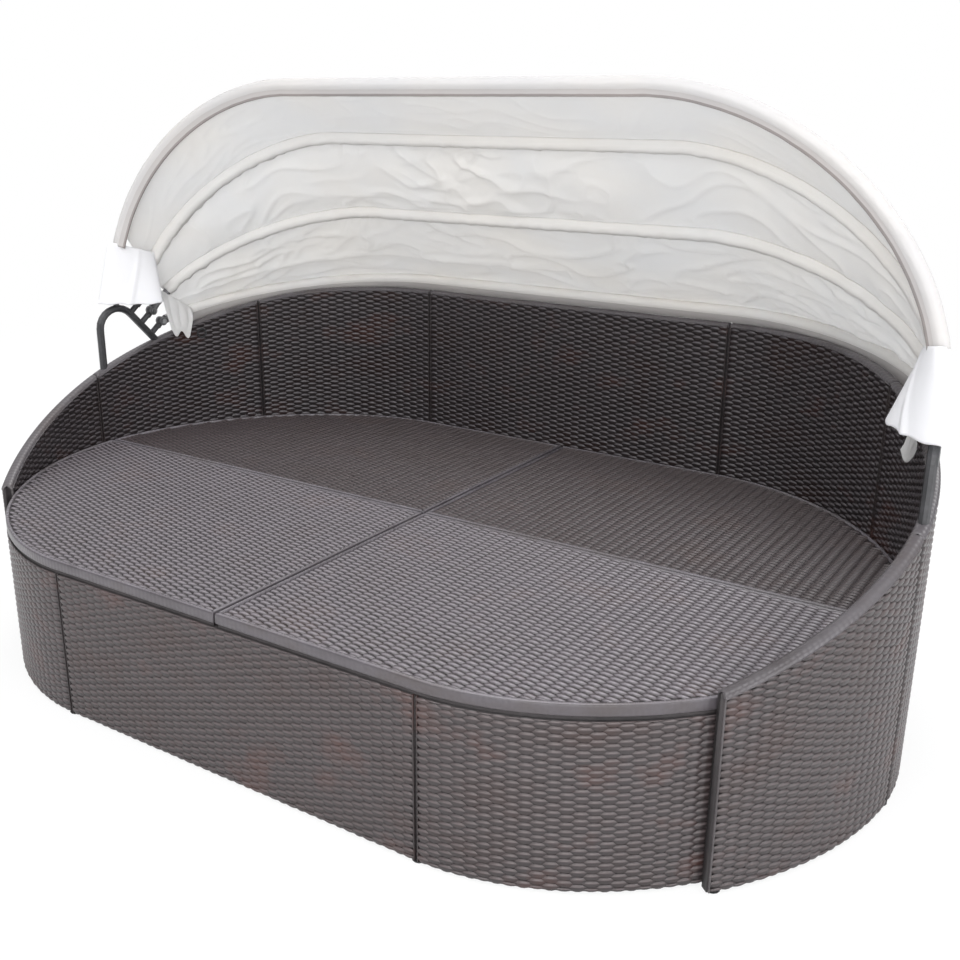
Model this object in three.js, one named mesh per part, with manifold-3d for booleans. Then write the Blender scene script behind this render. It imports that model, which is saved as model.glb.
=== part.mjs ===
// Outdoor daybed: an oval deck in a low woven wall, with a canopy of four bows that folds back.
// Millimetres, +Z up, front at -Y, floor at Z = 0. Left and right are as seen from the front.
import * as THREE from 'three';
import { mergeVertices } from 'three/addons/utils/BufferGeometryUtils.js';
import Module from 'manifold-3d';

const wasm = await Module();
wasm.setup();

// Plan of the deck: straight front and back, rounded ends
const straightHalf = 408;
const endReach = 552;
const depthHalf = 599;
const outlineFullness = 1.87;
const deckHeight = 320;

// Wall panels
const wallThickness = 24;
const wallBackHeight = 672;
const wallSideHeight = 500;
const wallRiseShare = 0.375;
const wallRiseEasing = 0.00008;
const wallShoulder = 14;
const edgeRound = 9;
const seamGap = 4;
const backSeamShare = 0.263;
const endSeamShare = 0.516;
const wallEndShare = 0.747;

// Front aprons and deck lids
const apronThickness = 25;
const apronRecess = 1;
const lidThickness = 27;
const lidClearance = 1.5;
const lidGap = 4;
const lidEdgeBevel = 4;

// Rails and beams under the lids
const fitGap = 0.3;
const railWidth = 25;
const railHeight = 30;
const beamWidth = 40;
const beamHeight = 40;
const legWidth = 36;
const legFootWidth = 70;
const legFootHeight = 8;

// Floor glides
const glideRadius = 12;
const glideHeight = 3;
const glideWaist = 10.5;

// Canopy hoops on the side walls
const hoopTubeRadius = 9;
const hoopFrontFoot = 2;
const hoopRearFoot = 150;
const hoopRise = 141;
const hoopBendRadius = 48;
const hoopSlopeAngle = 48.7;
const hoopSocketDepth = 60;
const hoopTailDepth = 24;
const socketClearance = 0.4;

// Pegs on the hoops, each with a lug that carries one bow
const pegPitch = 40;
const pegLength = 46;
const pegRadius = 7;
const lugRadius = 11;
const lugThickness = 8;
const lugRelief = 1.5;
const neckWidth = 13;

// Knuckles and pins of the bows
const earThickness = 5;
const earGap = 0.5;
const pinRadius = 4;
const pinClearance = 0.3;
const pinHeadRadius = 6.5;
const pinHeadThickness = 3;
const ferruleLength = 32;
const ferruleWall = 1.5;

// Bows: rise above the pivot and tilt from level. The rear bow's crown is set from the back wall
const bowTubeRadius = 9.5;
const bowStart = 22;
const frontRise = 474;
const frontTilt = 86.9;
const secondRise = 412;
const secondTilt = 73.6;
const thirdRise = 346;
const thirdTilt = 47.2;
const rearBowOverhang = 19.5;
const rearBowLift = 25;
const frontFullness = 1.88;
const innerFullness = 1.75;

// Canopy cloth
const clothThickness = 2.4;
const clothGap = 0.4;
const pocketDepth = 27;
const pocketEnd = 118;
const rearPocketEnd = 70;
const panelSag = 14;
const foldHeight = 5;
const foldNarrowness = 24;
const foldSlant = 0.25;
const foldShares = [0.09, 0.17, 0.27, 0.36, 0.52, 0.63, 0.77, 0.88];
const frontPanelFirstStep = 3;
const middlePanelFirstStep = 2;
const rearPanelFirstStep = 2;
const cuffTopGap = 1;
const cuffClearance = 19;
const cuffTurn = 54;
const cuffTopLength = 84;
const cuffLowLength = 160;
const cuffLowWidth = 54;
const cuffLowShift = { x: -8, y: 8 };
const tieLoopRadius = 11;
const tieCordRadius = 2.2;
const tieGap = 0.8;
const tieHeight = 34;
const tieSeamShare = 0.34;

// Facets
const endSteps = 36;
const bowSteps = 40;
const tubeSides = 8;
const roundSides = 12;
const clothRows = 5;
const hoopSteps = 30;
const stationSpareShare = 0.125;
const mergeDistance = 0.003;

// How far a cutting tool runs past the material on each side
const cutOverrun = 4;

const deg = THREE.MathUtils.degToRad;
const lidUnderside = deckHeight - lidThickness;
const model = new THREE.Group();

const finishes = {
  weave: { color: 0x5a5053, roughness: 0.55, metalness: 0 },
  steel: { color: 0x4a4a4b, roughness: 0.45, metalness: 0.6 },
  plated: { color: 0x9a9a9c, roughness: 0.35, metalness: 0.9 },
  foot: { color: 0x1d1d1e, roughness: 0.7, metalness: 0 },
  cloth: { color: 0xe9e4dc, roughness: 0.9, metalness: 0 },
  cord: { color: 0x2b2b2c, roughness: 0.8, metalness: 0 },
};

// Adds one named piece to the model, or to a group that places it
function addPiece(name, geometry, finish, parent = model) {
  const mesh = new THREE.Mesh(geometry, new THREE.MeshStandardMaterial(finishes[finish]));
  mesh.name = name;
  parent.add(mesh);
  return mesh;
}

// Solid and geometry conversions for cuts and joins
function toSolid(geometry) {
  const bare = new THREE.BufferGeometry();
  bare.setAttribute('position', geometry.getAttribute('position').clone());
  if (geometry.index) bare.setIndex(geometry.index.clone());
  const merged = mergeVertices(bare, mergeDistance);
  return new wasm.Manifold(new wasm.Mesh({
    numProp: 3,
    vertProperties: new Float32Array(merged.getAttribute('position').array),
    triVerts: new Uint32Array(merged.index.array),
  }));
}

function toGeometry(solid) {
  const mesh = solid.getMesh();
  const geometry = new THREE.BufferGeometry();
  geometry.setAttribute('position', new THREE.BufferAttribute(new Float32Array(mesh.vertProperties), 3));
  geometry.setIndex(new THREE.BufferAttribute(new Uint32Array(mesh.triVerts), 1));
  geometry.computeVertexNormals();
  return geometry;
}

function joined(geometries) {
  const solids = geometries.map(toSolid);
  return solids.reduce((whole, solid) => whole.add(solid));
}

// The same shape on the other side of the middle plane X = 0
function mirrored(geometry) {
  const flipped = geometry.index ? geometry.toNonIndexed() : geometry.clone();
  const position = flipped.getAttribute('position');
  const point = new THREE.Vector3();
  const corners = [];
  for (let i = 0; i < position.count; i += 3) {
    for (const corner of [i, i + 2, i + 1]) {
      point.fromBufferAttribute(position, corner);
      corners.push(-point.x, point.y, point.z);
    }
  }
  const result = new THREE.BufferGeometry();
  result.setAttribute('position', new THREE.Float32BufferAttribute(corners, 3));
  result.computeVertexNormals();
  return result;
}

// A closed body through rings of equal count; each ring runs the same way round
function loftRings(rings) {
  const count = rings[0].length;
  const corners = rings.flat().flatMap((p) => [p.x, p.y, p.z]);
  const index = [];
  for (let ring = 0; ring < rings.length - 1; ring += 1) {
    for (let i = 0; i < count; i += 1) {
      const a = ring * count + i;
      const b = ring * count + (i + 1) % count;
      index.push(a, b, b + count, a, b + count, a + count);
    }
  }
  const last = (rings.length - 1) * count;
  for (let i = 1; i < count - 1; i += 1) {
    index.push(0, i + 1, i);
    index.push(last, last + i, last + i + 1);
  }
  return outwardGeometry(corners, index);
}

// A sleeve: outer rings, inner rings, and a flat rim at both ends
function loftSleeve(outer, inner) {
  const count = outer[0].length;
  const steps = outer.length;
  const corners = [...outer.flat(), ...inner.flat()].flatMap((p) => [p.x, p.y, p.z]);
  const inside = steps * count;
  const index = [];
  for (let ring = 0; ring < steps - 1; ring += 1) {
    for (let i = 0; i < count; i += 1) {
      const a = ring * count + i;
      const b = ring * count + (i + 1) % count;
      index.push(a, b, b + count, a, b + count, a + count);
      index.push(inside + a, inside + b + count, inside + b);
      index.push(inside + a, inside + a + count, inside + b + count);
    }
  }
  const last = (steps - 1) * count;
  for (let i = 0; i < count; i += 1) {
    const next = (i + 1) % count;
    index.push(i, inside + i, inside + next, i, inside + next, next);
    index.push(last + i, inside + last + next, inside + last + i);
    index.push(last + i, last + next, inside + last + next);
  }
  return outwardGeometry(corners, index);
}

// A sheet with thickness from two grids of points, grid[row][column]
function loftSheet(top, bottom) {
  const rows = top.length;
  const columns = top[0].length;
  const corners = [...top.flat(), ...bottom.flat()].flatMap((p) => [p.x, p.y, p.z]);
  const under = rows * columns;
  const index = [];
  const quad = (a, b, c, d) => index.push(a, b, c, a, c, d);
  for (let r = 0; r < rows - 1; r += 1) {
    for (let c = 0; c < columns - 1; c += 1) {
      const a = r * columns + c;
      quad(a, a + 1, a + 1 + columns, a + columns);
      quad(under + a, under + a + columns, under + a + 1 + columns, under + a + 1);
    }
  }
  for (let c = 0; c < columns - 1; c += 1) {
    const far = (rows - 1) * columns + c;
    quad(c + 1, c, under + c, under + c + 1);
    quad(far, far + 1, under + far + 1, under + far);
  }
  for (let r = 0; r < rows - 1; r += 1) {
    const near = r * columns;
    const far = near + columns - 1;
    quad(near, near + columns, under + near + columns, under + near);
    quad(far + columns, far, under + far, under + far + columns);
  }
  return outwardGeometry(corners, index);
}

// Builds the geometry and turns its faces out if its volume comes out negative
function outwardGeometry(corners, index) {
  let volume = 0;
  const at = (i) => new THREE.Vector3(corners[3 * i], corners[3 * i + 1], corners[3 * i + 2]);
  for (let i = 0; i < index.length; i += 3) {
    volume += at(index[i]).dot(at(index[i + 1]).cross(at(index[i + 2])));
  }
  const geometry = new THREE.BufferGeometry();
  geometry.setAttribute('position', new THREE.Float32BufferAttribute(corners, 3));
  geometry.setIndex(volume < 0 ? index.slice().reverse() : index);
  geometry.computeVertexNormals();
  return geometry;
}

// The rounded end of the plan, walked by length from the back straight to the front straight
const endCurve = (() => {
  const samples = 720;
  const points = [];
  const lengths = [0];
  for (let i = 0; i <= samples; i += 1) {
    const angle = Math.PI / 2 + (Math.PI * i) / samples;
    const c = Math.abs(Math.cos(angle)) ** (2 / outlineFullness);
    const s = Math.sign(Math.sin(angle)) * Math.abs(Math.sin(angle)) ** (2 / outlineFullness);
    points.push(new THREE.Vector2(-straightHalf - endReach * c, depthHalf * s));
    if (i > 0) lengths.push(lengths[i - 1] + points[i].distanceTo(points[i - 1]));
  }
  return { points, lengths, total: lengths[samples], samples };
})();

// Point at a length along the left end, pushed out from the deck edge by an offset
function endPoint(length, offset) {
  const { points, lengths, total, samples } = endCurve;
  const target = THREE.MathUtils.clamp(length, 0, total);
  let i = 1;
  while (i < samples && lengths[i] < target) i += 1;
  const share = (target - lengths[i - 1]) / (lengths[i] - lengths[i - 1]);
  const point = points[i - 1].clone().lerp(points[i], share);
  const before = points[Math.max(i - 2, 0)];
  const after = points[Math.min(i + 1, samples)];
  const along = after.clone().sub(before).normalize();
  return point.add(new THREE.Vector2(along.y, -along.x).multiplyScalar(offset));
}

// Length along the left end at which it reaches a given Y
function lengthAtY(y) {
  const { points, lengths } = endCurve;
  const i = Math.max(points.findIndex((point) => point.y <= y), 1);
  const share = (points[i - 1].y - y) / (points[i - 1].y - points[i].y);
  return THREE.MathUtils.lerp(lengths[i - 1], lengths[i], share);
}

// Height of the wall's top edge: a slope from the front that eases and turns level along the back
function wallTop(y) {
  const slope = wallSideHeight + wallRiseShare * y - wallRiseEasing * y * y;
  return wallBackHeight - wallShoulder * Math.log(1 + Math.exp((wallBackHeight - slope) / wallShoulder));
}

// Upright cross-section with rounded top corners, as offsets from the deck edge and heights
function wallSection(place, inner, outer, top) {
  const soft = edgeRound * (1 - Math.SQRT1_2);
  const outline = [
    [inner, glideHeight],
    [outer, glideHeight],
    [outer, top - edgeRound],
    [outer - soft, top - soft],
    [outer - edgeRound, top],
    [inner + edgeRound, top],
    [inner + soft, top - soft],
    [inner, top - edgeRound],
  ];
  return outline.map(([offset, height]) => {
    const point = place(offset);
    return new THREE.Vector3(point.x, point.y, height);
  });
}

// Lengths at which every piece that follows the end curve has its facets, so that they nest
const wallEnd = endCurve.total * wallEndShare;
const apronEnd = wallEnd - railWidth;

function stationsBetween(start, end) {
  const shared = [apronEnd, lengthAtY(beamWidth / 2), lengthAtY(-beamWidth / 2)];
  for (let i = 1; i < endSteps; i += 1) shared.push((endCurve.total * i) / endSteps);
  const spare = (endCurve.total / endSteps) * stationSpareShare;
  const inside = shared.filter((length) => length > start + spare && length < end - spare);
  return [start, ...inside.sort((a, b) => a - b), end];
}

// A curved wall panel between two lengths along the left end
function curvedPanel(start, end) {
  return loftRings(stationsBetween(start, end).map((length) => wallSection(
    (offset) => endPoint(length, offset),
    0,
    wallThickness,
    wallTop(endPoint(length, 0).y),
  )));
}

// Canopy hoop: front post, bend and slope, in an upright plane through the wall's middle
const wallMiddle = wallThickness / 2;

function middleOfWallAt(y) {
  return endPoint(lengthAtY(y), wallMiddle);
}

const hoopFront = middleOfWallAt(hoopFrontFoot);
const hoopRear = middleOfWallAt(hoopRearFoot);
const hoopLean = (hoopRear.x - hoopFront.x) / (hoopRear.y - hoopFront.y);
const hoopAt = (y, z) => new THREE.Vector3(hoopFront.x + hoopLean * (y - hoopFront.y), y, z);
const hoopFootHeight = wallTop(hoopFront.y);
const hoopTop = hoopFootHeight + hoopRise;
const slope = deg(hoopSlopeAngle);
const bendCentre = { y: hoopFront.y + hoopBendRadius, z: hoopTop - hoopBendRadius };
const bendEnd = Math.PI / 2 - slope;
const slopeStart = {
  y: bendCentre.y + hoopBendRadius * Math.cos(bendEnd),
  z: bendCentre.z + hoopBendRadius * Math.sin(bendEnd),
};

// Where the slope meets the wall's top edge, then on into its socket
function slopeLengthToWall() {
  let length = 0;
  let height = slopeStart.z;
  while (height > wallTop(slopeStart.y + length * Math.cos(slope)) && length < hoopRise * 2) {
    length += fitGap;
    height = slopeStart.z - length * Math.sin(slope);
  }
  return length;
}

const slopeLength = slopeLengthToWall() + hoopTailDepth;
const onSlope = (length) => hoopAt(
  slopeStart.y + length * Math.cos(slope),
  slopeStart.z - length * Math.sin(slope),
);
const onBend = (angle, radius = hoopBendRadius) => hoopAt(
  bendCentre.y + radius * Math.cos(angle),
  bendCentre.z + radius * Math.sin(angle),
);

const hoopRoute = (() => {
  const bendSteps = 14;
  const straightSteps = 6;
  const points = [];
  const base = hoopFootHeight - hoopSocketDepth;
  for (let i = 0; i < straightSteps; i += 1) {
    points.push(hoopAt(hoopFront.y, base + ((bendCentre.z - base) * i) / straightSteps));
  }
  for (let i = 0; i <= bendSteps; i += 1) {
    points.push(onBend(Math.PI + ((bendEnd - Math.PI) * i) / bendSteps));
  }
  for (let i = 1; i <= straightSteps; i += 1) {
    points.push(onSlope((slopeLength * i) / straightSteps));
  }
  return new THREE.CatmullRomCurve3(points, false, 'centripetal');
})();

function roundShape(radius, sides) {
  const shape = new THREE.Shape();
  for (let i = 0; i < sides; i += 1) {
    const angle = (2 * Math.PI * i) / sides;
    const x = radius * Math.cos(angle);
    const y = radius * Math.sin(angle);
    if (i === 0) shape.moveTo(x, y);
    else shape.lineTo(x, y);
  }
  shape.closePath();
  return shape;
}

function tubeAlong(curve, radius, steps) {
  return new THREE.ExtrudeGeometry(roundShape(radius, tubeSides), {
    steps,
    bevelEnabled: false,
    extrudePath: curve,
  });
}

// A cylinder from one point to another
function rodBetween(from, to, radius, sides = roundSides) {
  const along = to.clone().sub(from);
  const rod = new THREE.CylinderGeometry(radius, radius, along.length(), sides);
  rod.applyQuaternion(new THREE.Quaternion().setFromUnitVectors(
    new THREE.Vector3(0, 1, 0),
    along.clone().normalize(),
  ));
  const middle = from.clone().add(to).multiplyScalar(0.5);
  return rod.translate(middle.x, middle.y, middle.z);
}

// A disc or hole along X
function crosswise(radius, width, at) {
  const disc = new THREE.CylinderGeometry(radius, radius, width, roundSides);
  disc.rotateZ(Math.PI / 2);
  return disc.translate(at.x, at.y, at.z);
}

// Pegs: the first stands on the bend, the others on the slope, one pitch apart
const pegRoots = [
  { root: onBend(bendEnd + pegPitch / hoopBendRadius), angle: bendEnd + pegPitch / hoopBendRadius },
  { root: onSlope(0), angle: bendEnd },
  { root: onSlope(pegPitch), angle: bendEnd },
  { root: onSlope(2 * pegPitch), angle: bendEnd },
];
const eyes = pegRoots.map(({ root, angle }) => hoopAt(
  root.y + pegLength * Math.cos(angle),
  root.z + pegLength * Math.sin(angle),
));
const boreRadius = pinRadius + pinClearance;

function hoopGeometry() {
  let hoop = toSolid(tubeAlong(hoopRoute, hoopTubeRadius, hoopSteps));
  pegRoots.forEach(({ root, angle }, i) => {
    const eye = eyes[i];
    const back = eye.clone().sub(root).normalize();
    const stubEnd = eye.clone().addScaledVector(back, -(lugRadius + lugRelief));
    const neckLength = lugRadius + lugRelief + pegRadius;
    const neck = new THREE.BoxGeometry(lugThickness, neckLength, neckWidth);
    neck.translate(0, -neckLength / 2, 0);
    neck.rotateX(angle);
    neck.translate(eye.x, eye.y, eye.z);
    hoop = hoop.add(toSolid(rodBetween(root, stubEnd, pegRadius, tubeSides)));
    hoop = hoop.add(toSolid(neck));
    hoop = hoop.add(toSolid(crosswise(lugRadius, lugThickness, eye)));
    hoop = hoop.subtract(toSolid(crosswise(boreRadius, lugThickness + 2 * cutOverrun, eye)));
  });
  return toGeometry(hoop);
}

const leftHoop = hoopGeometry();
addPiece('canopy_hoop_left', leftHoop, 'steel');
addPiece('canopy_hoop_right', mirrored(leftHoop), 'steel');

// Walls: a straight back panel and three curved panels on each side
const halfSeam = seamGap / 2;

function straightPanel(halfLength, inner, outer, top) {
  const rings = [-halfLength, halfLength].map((x) => wallSection(
    (offset) => new THREE.Vector2(x, depthHalf + offset),
    inner,
    outer,
    top,
  ));
  return loftRings(rings);
}

addPiece('back_panel_center',
  straightPanel(straightHalf - halfSeam, 0, wallThickness, wallTop(depthHalf)), 'weave');

const backSeam = endCurve.total * backSeamShare;
const endSeam = endCurve.total * endSeamShare;
const socketCut = toSolid(tubeAlong(hoopRoute, hoopTubeRadius + socketClearance, hoopSteps));
const leftWalls = {
  back_corner_panel: toSolid(curvedPanel(halfSeam, backSeam - halfSeam)),
  side_panel: toSolid(curvedPanel(backSeam + halfSeam, endSeam - halfSeam)).subtract(socketCut),
  end_panel: toSolid(curvedPanel(endSeam + halfSeam, wallEnd)),
};
for (const [name, solid] of Object.entries(leftWalls)) {
  const geometry = toGeometry(solid);
  addPiece(`${name}_left`, geometry, 'weave');
  addPiece(`${name}_right`, mirrored(geometry), 'weave');
}

// Front aprons, set back a little under the lid edge
const apronOuter = -apronRecess;
const apronInner = -apronRecess - apronThickness;
const apronTop = lidUnderside;

function uprightBlock(place, inner, outer, low, high) {
  return [[inner, low], [outer, low], [outer, high], [inner, high]].map(([offset, height]) => {
    const point = place(offset);
    return new THREE.Vector3(point.x, point.y, height);
  });
}

function curvedBlock(start, end, inner, outer, low, high) {
  return loftRings(stationsBetween(start, end).map(
    (length) => uprightBlock((offset) => endPoint(length, offset), inner, outer, low, high),
  ));
}

function frontBlock(halfLength, inner, outer, low, high) {
  const place = (x) => (offset) => new THREE.Vector2(x, -depthHalf - offset);
  return loftRings([-halfLength, halfLength].map((x) => uprightBlock(place(x), inner, outer, low, high)));
}

addPiece('front_apron_center',
  frontBlock(straightHalf - halfSeam, apronInner, apronOuter, glideHeight, apronTop), 'weave');
const leftApron = curvedBlock(apronEnd + fitGap, endCurve.total - halfSeam,
  apronInner, apronOuter, glideHeight, apronTop);
addPiece('front_apron_left', leftApron, 'weave');
addPiece('front_apron_right', mirrored(leftApron), 'weave');

// Ledge rails that carry the lids along the walls
const railLow = lidUnderside - railHeight;
const railOuter = -fitGap;
const railInner = -fitGap - railWidth;
const leftRail = curvedBlock(fitGap, apronEnd, railInner, railOuter, railLow, lidUnderside);
addPiece('ledge_rail_left', leftRail, 'steel');
addPiece('ledge_rail_right', mirrored(leftRail), 'steel');
const backRail = new THREE.BoxGeometry(2 * straightHalf, railWidth, railHeight);
backRail.translate(0, depthHalf - fitGap - railWidth / 2, lidUnderside - railHeight / 2);
addPiece('ledge_rail_back', backRail, 'steel');

// Beams under the two seams of the deck, and the leg under their crossing
const beamLow = lidUnderside - beamHeight;
const beamReach = Math.abs(endPoint(lengthAtY(beamWidth / 2), railInner).x) - fitGap;
const longBeam = new THREE.BoxGeometry(2 * beamReach, beamWidth, beamHeight);
longBeam.translate(0, 0, lidUnderside - beamHeight / 2);
addPiece('long_beam', longBeam, 'steel');

function crossBeam(fromY, toY) {
  const beam = new THREE.BoxGeometry(beamWidth, Math.abs(toY - fromY), beamHeight);
  beam.translate(0, (fromY + toY) / 2, lidUnderside - beamHeight / 2);
  return beam;
}

const beamSide = beamWidth / 2 + fitGap;
addPiece('cross_beam_front', crossBeam(-beamSide, -depthHalf - apronInner + fitGap), 'steel');
addPiece('cross_beam_rear', crossBeam(beamSide, depthHalf + railInner - fitGap), 'steel');

const legPost = new THREE.BoxGeometry(legWidth, legWidth, beamLow - legFootHeight);
legPost.translate(0, 0, (beamLow + legFootHeight) / 2);
const legFoot = new THREE.BoxGeometry(legFootWidth, legFootWidth, 2 * legFootHeight);
legFoot.translate(0, 0, legFootHeight);
addPiece('center_leg', toGeometry(joined([legPost, legFoot])), 'steel');

// Four deck lids with banded, bevelled edges
function lidGeometry(front) {
  const steps = 18;
  const inset = lidClearance;
  const half = lidGap / 2;
  const corners = [new THREE.Vector2(-half, half)];
  const points = [];
  for (let i = 0; i <= steps; i += 1) {
    const length = (endCurve.total / 2) * (i / steps);
    const point = endPoint(length, -inset);
    points.push(new THREE.Vector2(Math.min(point.x, -half), Math.max(point.y, half)));
  }
  corners.push(new THREE.Vector2(-half, points[0].y), ...points);
  const shape = new THREE.Shape(corners.map((p) => new THREE.Vector2(p.x, front ? -p.y : p.y)));
  const lid = new THREE.ExtrudeGeometry(shape, {
    depth: lidThickness - 2 * lidEdgeBevel,
    bevelEnabled: true,
    bevelThickness: lidEdgeBevel,
    bevelSize: lidEdgeBevel,
    bevelOffset: -lidEdgeBevel,
    bevelSegments: 1,
  });
  return lid.translate(0, 0, lidUnderside + lidEdgeBevel);
}

for (const [row, front] of [['front', true], ['rear', false]]) {
  const lid = lidGeometry(front);
  addPiece(`deck_lid_${row}_left`, lid, 'weave');
  addPiece(`deck_lid_${row}_right`, mirrored(lid), 'weave');
}

// Floor glides under the panel seams
function glideGeometry() {
  const profile = [
    new THREE.Vector2(0, 0),
    new THREE.Vector2(glideWaist, 0),
    new THREE.Vector2(glideRadius, glideHeight / 2),
    new THREE.Vector2(glideRadius, glideHeight),
    new THREE.Vector2(0, glideHeight),
  ];
  return new THREE.LatheGeometry(profile, roundSides).rotateX(Math.PI / 2);
}

const glidePlaces = {
  glide_back_inner: endPoint(0, wallMiddle),
  glide_back_corner: endPoint(backSeam, wallMiddle),
  glide_side: endPoint(endSeam, wallMiddle),
  glide_wall_end: endPoint(wallEnd - glideRadius, wallMiddle),
  glide_front: endPoint(endCurve.total, (apronInner + apronOuter) / 2),
};
for (const [name, place] of Object.entries(glidePlaces)) {
  addPiece(`${name}_left`, glideGeometry(), 'foot').position.set(place.x, place.y, 0);
  addPiece(`${name}_right`, glideGeometry(), 'foot').position.set(-place.x, place.y, 0);
}

// Bows. Each lies in the XY plane of a group that stands at its pivot and is tilted about X
const rearCrown = { y: depthHalf + rearBowOverhang, z: wallTop(depthHalf) + rearBowLift };
const rearBack = rearCrown.y - eyes[3].y;
const rearUp = rearCrown.z - eyes[3].z;
const rearRise = Math.hypot(rearBack, rearUp);
const rearTilt = THREE.MathUtils.radToDeg(Math.atan2(rearUp, rearBack));
const bows = [
  { name: 'front_bow', rise: frontRise, tilt: frontTilt, fullness: frontFullness },
  { name: 'second_bow', rise: secondRise, tilt: secondTilt, fullness: innerFullness },
  { name: 'third_bow', rise: thirdRise, tilt: thirdTilt, fullness: innerFullness },
  { name: 'rear_bow', rise: rearRise, tilt: rearTilt, fullness: frontFullness },
];
bows.forEach((bow, i) => {
  bow.eye = eyes[i];
  bow.halfSpan = Math.abs(eyes[i].x);
  const reach = bow.halfSpan - straightHalf;
  const cornerSteps = 24;
  const startAngle = Math.asin((bowStart / bow.rise) ** (bow.fullness / 2));
  const corner = [];
  for (let k = 0; k <= cornerSteps; k += 1) {
    const angle = startAngle + ((Math.PI / 2 - startAngle) * k) / cornerSteps;
    corner.push(new THREE.Vector3(
      -straightHalf - reach * Math.cos(angle) ** (2 / bow.fullness),
      bow.rise * Math.sin(angle) ** (2 / bow.fullness),
      0,
    ));
  }
  const middle = [-1, 0, 1].map((side) => new THREE.Vector3((side * straightHalf) / 2, bow.rise, 0));
  const far = corner.slice().reverse().map((p) => new THREE.Vector3(-p.x, p.y, 0));
  bow.curve = new THREE.CatmullRomCurve3([...corner, ...middle, ...far], false, 'centripetal');
  bow.curve.arcLengthDivisions = 800;
});

// Knuckle at a bow's end: two ears round the lug, and the ferrule that holds the tube
function knuckleParts(x) {
  const earOffset = lugThickness / 2 + earGap + earThickness / 2;
  const parts = [];
  for (const side of [-1, 1]) {
    const at = new THREE.Vector3(x + side * earOffset, 0, 0);
    const strapLength = lugRadius + 2 * lugRelief + pegRadius;
    const strap = new THREE.BoxGeometry(earThickness, strapLength, neckWidth);
    strap.translate(at.x, strapLength / 2, 0);
    parts.push(crosswise(lugRadius, earThickness, at), strap);
  }
  const ferruleStart = lugRadius + lugRelief;
  parts.push(rodBetween(
    new THREE.Vector3(x, ferruleStart, 0),
    new THREE.Vector3(x, ferruleStart + ferruleLength, 0),
    bowTubeRadius + ferruleWall,
  ));
  return parts;
}

function bowGeometry(bow) {
  let solid = toSolid(tubeAlong(bow.curve, bowTubeRadius, bowSteps));
  const boreWidth = lugThickness + 2 * (earGap + earThickness + cutOverrun);
  for (const x of [-bow.halfSpan, bow.halfSpan]) {
    solid = knuckleParts(x).reduce((whole, part) => whole.add(toSolid(part)), solid);
    solid = solid.subtract(toSolid(crosswise(boreRadius, boreWidth, new THREE.Vector3(x, 0, 0))));
  }
  return toGeometry(solid);
}

for (const bow of bows) {
  const hinge = new THREE.Group();
  hinge.position.set(0, bow.eye.y, bow.eye.z);
  hinge.rotation.x = deg(bow.tilt);
  addPiece(bow.name, bowGeometry(bow), 'steel', hinge);
  model.add(hinge);
}

// Pivot pins, headed at both ends
function pinGeometry() {
  const grip = lugThickness / 2 + earGap + earThickness + fitGap;
  const sides = 10;
  const profile = [
    new THREE.Vector2(0, -grip - pinHeadThickness),
    new THREE.Vector2(pinHeadRadius, -grip - pinHeadThickness),
    new THREE.Vector2(pinHeadRadius, -grip),
    new THREE.Vector2(pinRadius, -grip),
    new THREE.Vector2(pinRadius, grip),
    new THREE.Vector2(pinHeadRadius, grip),
    new THREE.Vector2(pinHeadRadius, grip + pinHeadThickness),
    new THREE.Vector2(0, grip + pinHeadThickness),
  ];
  return new THREE.LatheGeometry(profile, sides).rotateZ(Math.PI / 2);
}

bows.forEach((bow) => {
  addPiece(`${bow.name}_pin_left`, pinGeometry(), 'plated').position.copy(bow.eye);
  addPiece(`${bow.name}_pin_right`, pinGeometry(), 'plated').position.set(-bow.eye.x, bow.eye.y, bow.eye.z);
});

// A bow's centre line in the model's frame, with its outward and rearward directions
function bowFrame(bow, share) {
  const turn = new THREE.Matrix4().makeRotationX(deg(bow.tilt));
  const point = bow.curve.getPointAt(share).applyMatrix4(turn);
  const along = bow.curve.getTangentAt(share).applyMatrix4(turn).normalize();
  const rear = new THREE.Vector3(0, 0, -1).applyMatrix4(turn);
  point.y += bow.eye.y;
  point.z += bow.eye.z;
  const out = rear.clone().cross(along).normalize();
  if (out.dot(new THREE.Vector3(0, Math.cos(deg(bow.tilt)), Math.sin(deg(bow.tilt)))) < 0) out.negate();
  return { point, along, rear, out };
}

// Share of the bow's length at which it has risen a given distance from the pivot
function shareAtRise(bow, rise) {
  let share = 0;
  const step = 1 / 2000;
  while (bow.curve.getPointAt(share).y < rise && share < 1 / 2) share += step;
  return share;
}

// A pocket round a bow: round over the tube, drawn down to a sewn edge on the inside.
// Its rings stand where the tube has its own facets.
function pocketRings(bow, firstStep, grow, depth) {
  const arcSteps = 6;
  const rings = [];
  for (let step = firstStep; step <= bowSteps - firstStep; step += 1) {
    const { point, rear, out } = bowFrame(bow, step / bowSteps);
    const radius = bowTubeRadius + clothGap + grow;
    const ring = [];
    for (let k = 0; k <= arcSteps; k += 1) {
      const angle = (Math.PI * k) / arcSteps;
      ring.push(point.clone()
        .addScaledVector(rear, radius * Math.cos(angle))
        .addScaledVector(out, radius * Math.sin(angle)));
    }
    ring.push(point.clone().addScaledVector(rear, -(clothThickness + grow)).addScaledVector(out, -depth - grow));
    ring.push(point.clone().addScaledVector(rear, clothThickness + grow).addScaledVector(out, -depth - grow));
    rings.push(ring);
  }
  return rings;
}

function pocketGeometry(bow, endRise, depth) {
  const firstStep = Math.ceil(shareAtRise(bow, endRise) * bowSteps);
  return loftSleeve(
    pocketRings(bow, firstStep, clothThickness, depth),
    pocketRings(bow, firstStep, 0, depth),
  );
}

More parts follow.
